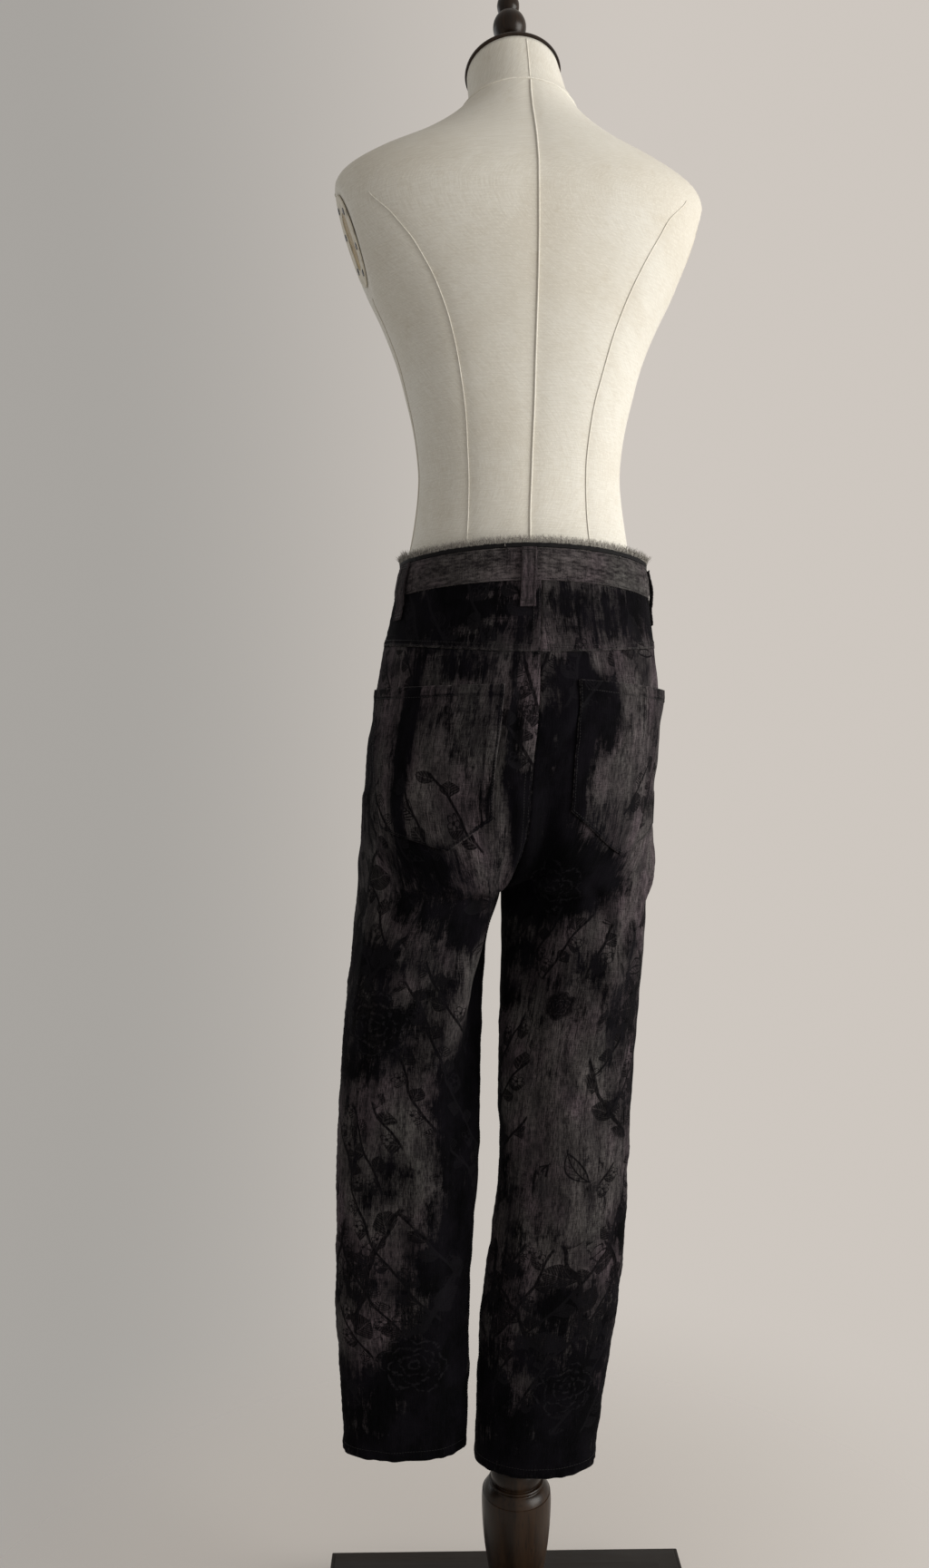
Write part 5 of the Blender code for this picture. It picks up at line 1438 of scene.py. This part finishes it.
def fringe():
    """The frayed raw edge above the tape: short warp ends standing up, with a few weft yarns still among them."""
    parts = []
    count = 4800
    places = np.linspace(LAP_END, -1, count) + chance.uniform(-0.0006, 0.0006, count)
    roots, normals = waist(places, np.full(count, TAPE_TOP - 0.0010))
    heads, _ = waist(places, np.full(count, TAPE_TOP + 0.0090))
    up = unit(heads - roots)
    aside = unit(np.cross(up, normals))
    lift = lap_lift(places) + chance.uniform(-0.0010, 0.0008, count)
    for k in range(count):
        tuft = sum(extra * math.exp(-(((places[k] - place) / half) ** 2)) for place, half, extra in FRINGE_TUFTS)
        length = chance.uniform(0.0052, 0.0092) + tuft * chance.uniform(0.3, 1.0)
        lean, out, curl = chance.normal(0, 0.38), chance.normal(0.05, 0.28), chance.normal(0, 0.45)
        t = np.linspace(0, 1, 4)[:, None]
        path = (
            roots[k]
            + normals[k] * lift[k]
            + up[k] * length * t
            + aside[k] * length * (lean * t + curl * t * t * 0.6)
            + normals[k] * length * out * t * t
        )
        parts.append(strand(path, chance.uniform(0.00013, 0.00024)))
    for level, wander in ((0.0012, 0.0005), (0.0024, 0.0007), (0.0038, 0.0010)):
        place = np.linspace(LAP_END - 0.004, -0.996, 900)
        points, around = waist(place, TAPE_TOP + level + wander * np.sin(place * 83 + level * 9000))
        wave = 0.0005 * np.sin(place * 420 + level * 3000) + lap_lift(place)
        parts.append(strand(points + around * wave[:, None], 0.00022))
    return joined("fringe_yarns", parts, finishes["fringe"])


LOOSE_THREADS = (
    # place round the waist, level, then steps along the waist, up and out in millimetres
    (0.175, TAPE_TOP + 0.002, ((0, 0, 0), (3, 3, 1), (5, 7, 2), (2, 10, 3), (-3, 9, 3), (-4, 5, 3), (-1, 3, 3))),
    (0.085, BAND_TOP + 0.001, ((0, 0, 1), (-1, 2, 2), (1, 4, 2), (0, 6, 2))),
    (-0.455, TAPE_TOP + 0.001, ((0, 0, 0), (-3, 4, 2), (-2, 8, 3), (2, 10, 4), (4, 7, 5))),
)


def loose_threads():
    parts = []
    for place, level, steps in LOOSE_THREADS:
        (root, ), (out, ) = (found[None, 0] for found in waist(np.array([place]), np.array([level])))
        aside = np.cross((0.0, 0.0, 1.0), out)
        up = np.array((0.0, 0.0, 1.0))
        knots = np.array([root + (aside * x + up * z + out * (y + 0.4)) * 0.001 for x, z, y in steps])
        at = np.linspace(0, len(knots) - 1, 8 * len(knots))
        path = points_at(at, np.arange(len(knots)), knots)
        kernel = np.array((1, 2, 3, 2, 1)) / 9
        soft = np.stack([np.convolve(np.pad(path[:, k], 2, mode="edge"), kernel, "valid") for k in range(3)], axis=-1)
        parts.append(strand(soft, 0.00020, sides=5))
    joined("loose_threads", parts, finishes["fringe"])


# ---- The form ----


def form_matrix():
    return Matrix.Rotation(FORM_TURN, 4, "Z")


def neck_frame(share):
    middle = NECK_FOOT.lerp(NECK_HEAD, share)
    radius = NECK_FOOT_RADIUS + (NECK_HEAD_RADIUS - NECK_FOOT_RADIUS) * share
    return Matrix.Translation(middle) @ Matrix.Rotation(-NECK_TILT * share, 4, "X"), radius


def arm_flat_frame(side):
    """The flat where an arm would fit: its Z points out of the form and its Y runs up."""
    out = Matrix.Rotation(side * (math.pi / 2 + ARM_FLAT_LEAN), 4, "Y")
    upright = Matrix.Rotation(side * -math.pi / 2, 4, "Z")
    return form_matrix() @ Matrix.Translation((side * ARM_FLAT_X, 0.0, ARM_FLAT_Z)) @ out @ upright


def moved_by(matrix, points):
    grid = np.array(matrix)
    return points @ grid[:3, :3].T + grid[:3, 3]


def pressed_flat(points):
    """Points outside the flats where arms would fit, moved onto them."""
    for side in (LEFT, RIGHT):
        place = arm_flat_frame(side)
        local = moved_by(place.inverted(), points)
        near_flat = (local[..., 2] > 0) & (np.abs(local[..., 1]) < 0.15)
        local[..., 2] = np.where(near_flat, 0.0, local[..., 2])
        points = moved_by(place, local)
    return points


def swollen(points, seam=0.0):
    """The cover's points with the padding's slight swells, drawn in along its seams."""
    inside = ease((points[..., 2] - 1.40) / 0.05)
    outward = unit(points * np.array((1.0, 1.0, 0.0)))
    swell = 0.0005 * np.sin(points @ np.array((31.0, 17.0, 23.0)) + 1.0)
    swell += 0.0004 * np.sin(points @ np.array((-19.0, 44.0, 37.0)))
    return points + outward * ((swell - seam) * inside - 0.0008 * (1 - inside))[..., None]


def form_points(angle, height):
    """Points of the form's cover at angles in radians and heights."""
    wide, back, front, square = (smooth(FORM, column, height) for column in range(1, 5))
    power = 2 / square
    cos, sin = np.cos(angle), np.sin(angle)
    x = np.sign(cos) * np.abs(cos) ** power * wide
    y = np.sign(sin) * np.abs(sin) ** power * np.where(sin > 0, front, back)
    points = np.stack((x, y, np.broadcast_to(height, x.shape)), axis=-1)
    return pressed_flat(moved_by(form_matrix(), points))


def torso():
    """The padded form under its canvas, from its flat bottom to the neck's leaning top."""
    sides, rows, neck_rows = 160, 190, 12
    angle = np.linspace(0, 2 * math.pi, sides + 1)
    rings = [form_points(angle, np.full(sides + 1, height)) for height in np.linspace(FORM[0][0], FORM[-1][0], rows)]
    for k in range(1, neck_rows + 1):
        neck, radius = neck_frame(k / neck_rows)
        ring = np.stack((radius * np.cos(angle), radius * np.sin(angle), 0 * angle), axis=-1)
        rings.append(moved_by(form_matrix() @ neck, ring))
    points = np.array(rings)
    hollow = np.zeros(points.shape[:2])
    for line in FORM_SEAMS.values():
        seam_angle, seam_height = np.radians([p[0] for p in line]), np.array([p[1] for p in line])
        order = np.argsort(seam_height)
        at = np.interp(points[:, 0, 2], seam_height[order], seam_angle[order])
        covered = (points[:, 0, 2] > seam_height.min()) & (points[:, 0, 2] < seam_height.max())
        gap = np.abs(angle - at[:, None])
        gap = np.minimum(gap, 2 * math.pi - gap) * np.hypot(points[..., 0], points[..., 1])
        hollow = np.maximum(hollow, covered[:, None] * ridge(gap, 0.0, 0.006))
    points = swollen(points, 0.0006 * hollow)
    mesh = bmesh.new()
    grid = [[mesh.verts.new(p) for p in ring[:-1]] for ring in points]
    up, _, around, _ = from_edges(points)
    layer = mesh.loops.layers.uv.new("cloth")
    for i in range(len(grid) - 1):
        for j in range(sides):
            n = (j + 1) % sides
            face = mesh.faces.new((grid[i][j], grid[i][n], grid[i + 1][n], grid[i + 1][j]))
            face.smooth = True
            for loop, (a, b) in zip(face.loops, ((i, j), (i, j + 1), (i + 1, j + 1), (i + 1, j))):
                loop[layer].uv = (around[a, b], up[a, b])
    mesh.faces.new(grid[0][::-1])
    mesh.faces.new(grid[-1])
    data = bpy.data.meshes.new("form_cover")
    mesh.to_mesh(data)
    mesh.free()
    data.materials.append(finishes["canvas"])
    made = linked("form_cover", data)
    # the seam hollows, which the canvas darkens as painted shade
    set_field(made, "edge", hollow[:, :-1].ravel())
    add_piece(made, "torso", slot="canvas")


def tube(path, radius, sides=8):
    """Points and faces of a cord of even thickness along a path, with closed ends."""
    points, faces = strand(path, radius, sides)
    middle = np.repeat(path, sides, axis=0)
    return middle + unit(points - middle) * radius, faces


def form_seams():
    """The sewn seams of the cover, as low cords of its canvas, painted lighter as a highlight on their ridges."""
    parts = []
    for name, line in FORM_SEAMS.items():
        steps = np.linspace(0, len(line) - 1, 14 * len(line))
        angle = np.interp(steps, np.arange(len(line)), np.radians([p[0] for p in line]))
        height = np.interp(steps, np.arange(len(line)), [p[1] for p in line])
        kernel = np.ones(9) / 9
        angle = np.convolve(np.pad(angle, 4, mode="edge"), kernel, "valid")
        path = swollen(form_points(angle, height))
        radius = 0.0010 if name == "centre_back" else 0.0006
        parts.append(tube(path, radius))
    steps = np.linspace(0, 2 * math.pi, 121)
    height = 1.9235 + 0.0150 * np.clip(-np.sin(steps), 0, 1) - 0.010 * np.clip(np.sin(steps), 0, 1)
    parts.append(tube(swollen(form_points(steps, height)), 0.0010))
    neck_line = []
    for share in np.linspace(0.0, 0.93, 16):
        neck, radius = neck_frame(share)
        angle = math.radians(272 + 4 * share)
        neck_line.append(form_matrix() @ neck @ Vector((radius * math.cos(angle), radius * math.sin(angle), 0.0)))
    parts.append(tube(swollen(np.array(neck_line)), 0.0008))
    made = joined("form_seams", parts, finishes["piping"])
    places = np.concatenate([points for points, _ in parts])
    set_uv(made, "cloth", places[:, (0, 2)])
    set_field(made, "edge", np.zeros(len(places)))


# ---- Hard pieces ----


def start_piece(name):
    """Name the primitive just added, and edit it with everything selected."""
    made = bpy.context.object
    made.name = name
    made.data.name = name
    bpy.ops.object.mode_set(mode="EDIT")
    bpy.ops.mesh.select_all(action="SELECT")
    return made


def start_circle(name, count, radius=1.0, fill="NGON", height=0.0):
    bpy.ops.object.select_all(action="DESELECT")
    bpy.ops.mesh.primitive_circle_add(vertices=count, radius=radius, fill_type=fill, location=(0, 0, height))
    bpy.ops.object.transform_apply(location=True, rotation=False, scale=False)
    return start_piece(name)


def draw_up(height):
    bpy.ops.mesh.extrude_region_move(TRANSFORM_OT_translate={"value": (0, 0, height)})


def rim_of(mesh):
    return sorted(mesh.verts, key=lambda v: math.atan2(v.co.y, v.co.x) % (2 * math.pi))


def select_faces(piece, wanted):
    """In edit mode, select the faces whose middle and normal pass the test."""
    mesh = bmesh.from_edit_mesh(piece.data)
    mesh.select_mode = {"FACE"}
    for face in mesh.faces:
        face.select_set(bool(wanted(face.calc_center_median(), face.normal)))
    mesh.select_flush_mode()
    bmesh.update_edit_mesh(piece.data)


def end_piece(piece, finish, place=None, angle=35):
    bpy.ops.mesh.select_all(action="SELECT")
    bpy.ops.mesh.remove_doubles(threshold=0.00001)
    bpy.ops.mesh.normals_make_consistent(inside=False)
    bpy.ops.object.mode_set(mode="OBJECT")
    bpy.ops.object.shade_smooth_by_angle(angle=math.radians(angle))
    if place is not None:
        piece.data.transform(place)
    bpy.ops.object.select_all(action="DESELECT")
    piece.data.materials.append(finish)
    return piece


def turned_piece(name, profile, finish, place=None, sides=96, angle=35):
    """A piece turned on a lathe: a disc drawn up ring by ring along its profile of (radius, height) pairs."""
    (radius, height), *rest = profile
    piece = start_circle(name, sides, radius, height=height)
    for next_radius, next_height in rest:
        draw_up(next_height - height)
        size = next_radius / radius
        bpy.ops.transform.resize(value=(size, size, 1), center_override=(0, 0, next_height))
        radius, height = next_radius, next_height
    return end_piece(piece, finish, place, angle)


def rounded(profile, steps):
    """More (radius, height) rows on a curve through the given ones, which rise."""
    rows = [(height, radius) for radius, height in profile]
    height = np.linspace(rows[0][0], rows[-1][0], steps)
    return [(float(r), float(h)) for r, h in zip(smooth(rows, 1, height), height)]


COLUMN_FOOT = (
    (0.05, 0.0628), (0.052, 0.0645), (0.0527, 0.0675), (0.0527, 0.072), (0.0515, 0.075), (0.047, 0.0762),
    (0.045, 0.0775), (0.042, 0.08),
)
COLUMN_BODY = (
    (0.04, 0.082), (0.0285, 0.096), (0.0215, 0.123), (0.022, 0.155), (0.0275, 0.193), (0.033, 0.225),
    (0.0378, 0.256), (0.0402, 0.279), (0.0414, 0.302), (0.0416, 0.315), (0.0408, 0.3235),
)
COLUMN_HEAD = (
    (0.0398, 0.0), (0.0385, 0.003), (0.0365, 0.0058), (0.0345, 0.008), (0.033, 0.0092), (0.0324, 0.0096),
    (0.0321, 0.0101), (0.0323, 0.0112), (0.0329, 0.0122), (0.033, 0.013), (0.0324, 0.0139), (0.0312, 0.0144),
    (0.03, 0.0147), (0.0297, 0.015), (0.03, 0.0158), (0.0307, 0.018), (0.0311, 0.021), (0.031, 0.0245),
    (0.0302, 0.028), (0.0285, 0.0315), (0.0255, 0.035), (0.0215, 0.0375), (0.0185, 0.0395), (0.017, 0.0425),
    (0.0162, 0.046),
)
COLUMN_HEAD_FOOT = 0.324

CAP_PROFILE = (
    (0.0528, 0.0003), (0.0539, 0.001), (0.0543, 0.0024), (0.0539, 0.0038), (0.053, 0.0046), (0.0505, 0.0056),
    (0.044, 0.0082), (0.034, 0.0107), (0.024, 0.0128), (0.017, 0.0146), (0.0162, 0.016),
)
FINIAL_FOOT = (
    (0.014, 0.0163), (0.0158, 0.0174), (0.0166, 0.0196), (0.0165, 0.0225), (0.0152, 0.0246), (0.0128, 0.0262),
    (0.0106, 0.029), (0.009, 0.033), (0.0082, 0.038), (0.0083, 0.043), (0.0092, 0.0466), (0.011, 0.0482),
    (0.0121, 0.0494), (0.012, 0.0508), (0.0108, 0.052),
)
BALL_HEIGHT = 0.0695
BALL_RADIUS = 0.019
FINIAL_HEAD = (
    (0.0078, 0.088), (0.0082, 0.0892), (0.01, 0.0906), (0.0117, 0.0936), (0.0126, 0.0976), (0.0128, 0.1016),
    (0.0121, 0.1056), (0.0105, 0.109), (0.0078, 0.1116), (0.0045, 0.1131), (0.002, 0.1135),
)

BASE_SIDE = 0.4950
BASE_STEP = 0.0060
BASE_EDGE_TOP = 0.0550
BASE_TOP = 0.0580
PANEL_SIDE = 0.4300
PANEL_TOP = 0.0625
PLATE_HALF_HEIGHT = 0.0500
PLATE_HALF_WIDTH = 0.0330
PLATE_THICK = 0.0020
SLOT_HALF_HEIGHT = 0.0310
SLOT_HALF_WIDTH = 0.0140
PLATE_SCREWS = (
    # across and up on the plate, in metres, and how far the slot is turned in degrees
    (-0.0110, 0.0385, 20), (0.0160, 0.0270, -35), (-0.0225, 0.0140, 65),
    (0.0225, -0.0140, 10), (-0.0160, -0.0270, -50), (0.0110, -0.0385, 40),
)


def column():
    head = [(radius, COLUMN_HEAD_FOOT + height) for radius, height in COLUMN_HEAD]
    profile = list(COLUMN_FOOT) + rounded(COLUMN_BODY, 46) + head
    made = turned_piece("turned_column", profile, finishes["dark_wood"], angle=28)
    add_piece(made, "column", slot="dark_wood")


def cap_and_finial():
    neck, _ = neck_frame(1.0)
    place = form_matrix() @ neck
    made = turned_piece("neck_cap_wood", CAP_PROFILE, finishes["dark_wood"], place)
    add_piece(made, "neck_cap", slot="dark_wood")
    angles = np.linspace(-math.radians(62), math.radians(64), 22)
    ball = [(BALL_RADIUS * math.cos(a), BALL_HEIGHT + BALL_RADIUS * math.sin(a)) for a in angles]
    made = turned_piece("finial_wood", list(FINIAL_FOOT) + ball + list(FINIAL_HEAD), finishes["dark_wood"], place, 64)
    add_piece(made, "finial", slot="dark_wood")


def square_board(name, side, low, high, edge):
    """A square board with softened edges."""
    bpy.ops.object.select_all(action="DESELECT")
    bpy.ops.mesh.primitive_cube_add(size=1, location=(0, 0, (low + high) / 2), scale=(side, side, high - low))
    bpy.ops.object.transform_apply(location=True, rotation=False, scale=True)
    piece = start_piece(name)
    bpy.ops.mesh.bevel(offset=edge, segments=3, affect="EDGES")
    return piece


def base():
    """The square base with a small step round its top, and the raised panel on it."""
    piece = square_board("base_board", BASE_SIDE, 0.0, BASE_EDGE_TOP, 0.0016)
    select_faces(piece, lambda middle, normal: normal.z > 0.99 and middle.length_squared < 0.01)
    bpy.ops.mesh.inset(thickness=BASE_STEP - 0.0016)
    draw_up(BASE_TOP - BASE_EDGE_TOP)
    bpy.ops.mesh.bevel(offset=0.0008, segments=2, affect="EDGES")
    add_piece(end_piece(piece, finishes["base_wood"]), "base_slab", slot="base_wood")
    piece = square_board("base_panel_board", PANEL_SIDE, BASE_TOP + LAID_GAP, PANEL_TOP, 0.0014)
    add_piece(end_piece(piece, finishes["base_wood"]), "base_panel", slot="base_wood")


def stadium(half_height, half_width, count):
    points = []
    for k in range(count):
        angle = 2 * math.pi * k / count
        straight = math.copysign(half_height - half_width, math.sin(angle)) if k % (count // 2) else 0.0
        points.append((half_width * math.cos(angle), straight + half_width * math.sin(angle)))
    return points


def arm_plate(side):
    """The oval plate where an arm would fit, with its long slot, the slot's board and small screws."""
    place = arm_flat_frame(side)
    hand = HANDS[side]
    piece = start_circle(f"arm_plate_{hand}_board", 72, fill="NOTHING")
    mesh = bmesh.from_edit_mesh(piece.data)
    rim = rim_of(mesh)
    for vert in rim:
        vert.co = Vector((vert.co.x * PLATE_HALF_WIDTH, vert.co.y * PLATE_HALF_HEIGHT, LAID_GAP))
    hole = [mesh.verts.new((x, y, LAID_GAP)) for x, y in stadium(SLOT_HALF_HEIGHT, SLOT_HALF_WIDTH, 72)]
    for k in range(72):
        mesh.faces.new((rim[k], rim[(k + 1) % 72], hole[(k + 1) % 72], hole[k]))
    bmesh.update_edit_mesh(piece.data)
    bpy.ops.mesh.select_all(action="SELECT")
    draw_up(PLATE_THICK - LAID_GAP)
    bpy.ops.object.mode_set(mode="OBJECT")
    soften = piece.modifiers.new("soften", "BEVEL")
    soften.width, soften.segments, soften.limit_method, soften.angle_limit = 0.0008, 3, "ANGLE", math.radians(50)
    bpy.ops.object.modifier_apply(modifier="soften")
    bpy.ops.object.mode_set(mode="EDIT")
    add_piece(end_piece(piece, finishes["plate"], place), f"arm_plate_{hand}", slot="plate_cloth")

    piece = start_circle(f"arm_inlay_{hand}_board", 48)
    mesh = bmesh.from_edit_mesh(piece.data)
    outline = stadium(SLOT_HALF_HEIGHT - LAID_GAP, SLOT_HALF_WIDTH - LAID_GAP, 48)
    for vert, (x, y) in zip(rim_of(mesh), outline):
        vert.co = Vector((x, y, LAID_GAP))
    bmesh.update_edit_mesh(piece.data)
    draw_up(0.0008)
    bpy.ops.mesh.inset(thickness=0.0020)
    bpy.ops.transform.translate(value=(0, 0, -0.0003))
    add_piece(end_piece(piece, finishes["slot"], place), f"arm_inlay_{hand}", slot="slot_wood")
    for k, (x, y, degrees) in enumerate(PLATE_SCREWS):
        screw(f"plate_screw_{hand}_{k + 1}", place @ Matrix.Translation((x, y, PLATE_THICK)), math.radians(degrees))


def screw(name, place, turn):
    """A small domed screw with a slot across it."""
    piece = start_circle(name, 28, 0.0038)
    draw_up(0.0004)
    bpy.ops.mesh.inset(thickness=0.0006)
    bpy.ops.transform.translate(value=(0, 0, 0.0003))
    for slot_edge in (-0.0003, 0.0003):
        bpy.ops.mesh.select_all(action="SELECT")
        bpy.ops.mesh.bisect(plane_co=(0, slot_edge, 0), plane_no=(0, 1, 0))
    select_faces(piece, lambda middle, normal: normal.z > 0.9 and abs(middle.y) < 0.0002 and middle.z > 0.0005)
    draw_up(-0.0004)
    made = end_piece(piece, finishes["dark_metal"], place @ Matrix.Rotation(turn, 4, "Z"), 25)
    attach(made, "root")


BUTTON_PLACE = 1.035
BUTTON_PROFILE = (
    (0.0074, 0.0), (0.0083, 0.0006), (0.0086, 0.0014), (0.0085, 0.0024), (0.0078, 0.0031), (0.0068, 0.0034),
    (0.0060, 0.0031), (0.0056, 0.0026), (0.0030, 0.0025), (0.0026, 0.0029), (0.0018, 0.0031),
)


def button():
    level = (BAND_TOP + BAND_BOTTOM) / 2
    seat, out = waist(np.array([BUTTON_PLACE]), np.array([level]))
    lift = float((BAND_CLOTH - CLOTH) + lap_lift(np.array(BUTTON_PLACE)) + 0.0012)
    normal = Vector(out[0])
    place = Matrix.Translation(Vector(seat[0]) + normal * lift) @ normal.to_track_quat("Z", "Y").to_matrix().to_4x4()
    made = turned_piece("button_metal_disc", BUTTON_PROFILE, finishes["metal"], place, 48)
    add_piece(made, "button", slot="button_metal")


# ---- Stage, light and camera ----


def area_light(name, place, target, size, power, color):
    light = bpy.data.lights.new(name, "AREA")
    light.shape, light.size, light.energy, light.color = "SQUARE", size, power, color
    made = linked(name, light)
    made.location = place
    made.rotation_euler = (Vector(target) - Vector(place)).to_track_quat("-Z", "Y").to_euler()


FLOOR_SIDE = 3.0
FLOOR_SOLID = 0.34  # the floor fades into the room's own colour from here out
FLOOR_GONE = 1.15


def floor_finish():
    """A pale floor that is whole round the stand and fades out evenly on all sides."""
    n = Finish("pale_floor", roughness=0.9, specular_ior_level=0.1)
    place = n.object_place()
    cloudy = n.noise(place, scale=0.8, detail=3.0)
    n.join(n.falling(n.vector("LENGTH", place), FLOOR_SOLID, FLOOR_GONE), n.shader.inputs["Alpha"])
    return n.finish(n.mix(cloudy, (0.560, 0.536, 0.512), (0.580, 0.555, 0.530)))


def stage_and_light():
    scene = bpy.context.scene
    scene.view_settings.view_transform = "Standard"
    bpy.ops.object.select_all(action="DESELECT")
    bpy.ops.mesh.primitive_plane_add(size=FLOOR_SIDE, location=(0, 0, -0.0002))
    floor = bpy.context.object
    floor.name = "floor"
    floor.data.materials.append(floor_finish())
    world = bpy.data.worlds.new("room")
    scene.world = world
    world.use_nodes = True
    nodes, links = world.node_tree.nodes, world.node_tree.links
    # painted shade: the room's backdrop is darker towards the left and lighter towards the right, as a wall lit from
    # the right
    way = nodes.new("ShaderNodeTexCoord")
    split = nodes.new("ShaderNodeSeparateXYZ")
    ramp = nodes.new("ShaderNodeMapRange")
    blend = nodes.new("ShaderNodeMix")
    blend.data_type = "RGBA"
    ramp.interpolation_type = "SMOOTHSTEP"
    ramp.inputs["From Min"].default_value = -0.30
    ramp.inputs["From Max"].default_value = 0.16
    blend.inputs[6].default_value = (0.385, 0.368, 0.345, 1)
    blend.inputs[7].default_value = (0.615, 0.570, 0.525, 1)
    links.new(way.outputs["Generated"], split.inputs[0])
    links.new(split.outputs[0], ramp.inputs["Value"])
    links.new(ramp.outputs["Result"], blend.inputs["Factor"])
    links.new(blend.outputs[2], nodes["Background"].inputs["Color"])
    area_light("key_light", (2.2, -0.9, 1.7), (0.0, 0.0, 1.2), 1.6, 62, (1.0, 0.98, 0.94))
    area_light("fill_light", (-1.9, 1.6, 2.0), (0.0, 0.0, 1.0), 1.8, 10, (0.95, 0.97, 1.0))


def photo_camera():
    camera = bpy.data.cameras.new("photo_camera")
    camera.sensor_width = 36
    camera.lens = 25.83
    made = linked("photo_camera", camera)
    made.location = (-0.085, -1.30, 1.25)
    made.rotation_euler = (math.radians(86.6), 0.0, math.radians(-1.0))
    bpy.context.scene.camera = made


def build():
    for side, face in PANELS:
        leg_panel(side, face)
    for side in (LEFT, RIGHT):
        yoke(side)
        pocket(side)
    fly_cover()
    waist_strip("waistband", BAND_BOTTOM, BAND_TOP, 26, BAND_CLOTH, band_profile, finishes["band"], "band_denim")
    waist_strip("top_tape", BAND_TOP, TAPE_TOP, 7, TAPE_CLOTH, tape_profile, finishes["tape"], "tape")
    for name, place in LOOPS.items():
        belt_loop(name, place)
    sewn(stitch_lines())
    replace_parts(fringe(), "top_fringe")
    loose_threads()
    torso()
    form_seams()
    column()
    cap_and_finial()
    base()
    arm_plate(LEFT)
    arm_plate(RIGHT)
    button()
    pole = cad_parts["pole"]
    pole.data.materials.clear()
    pole.data.materials.append(finishes["dark_wood"])
    stage_and_light()
    photo_camera()


build()
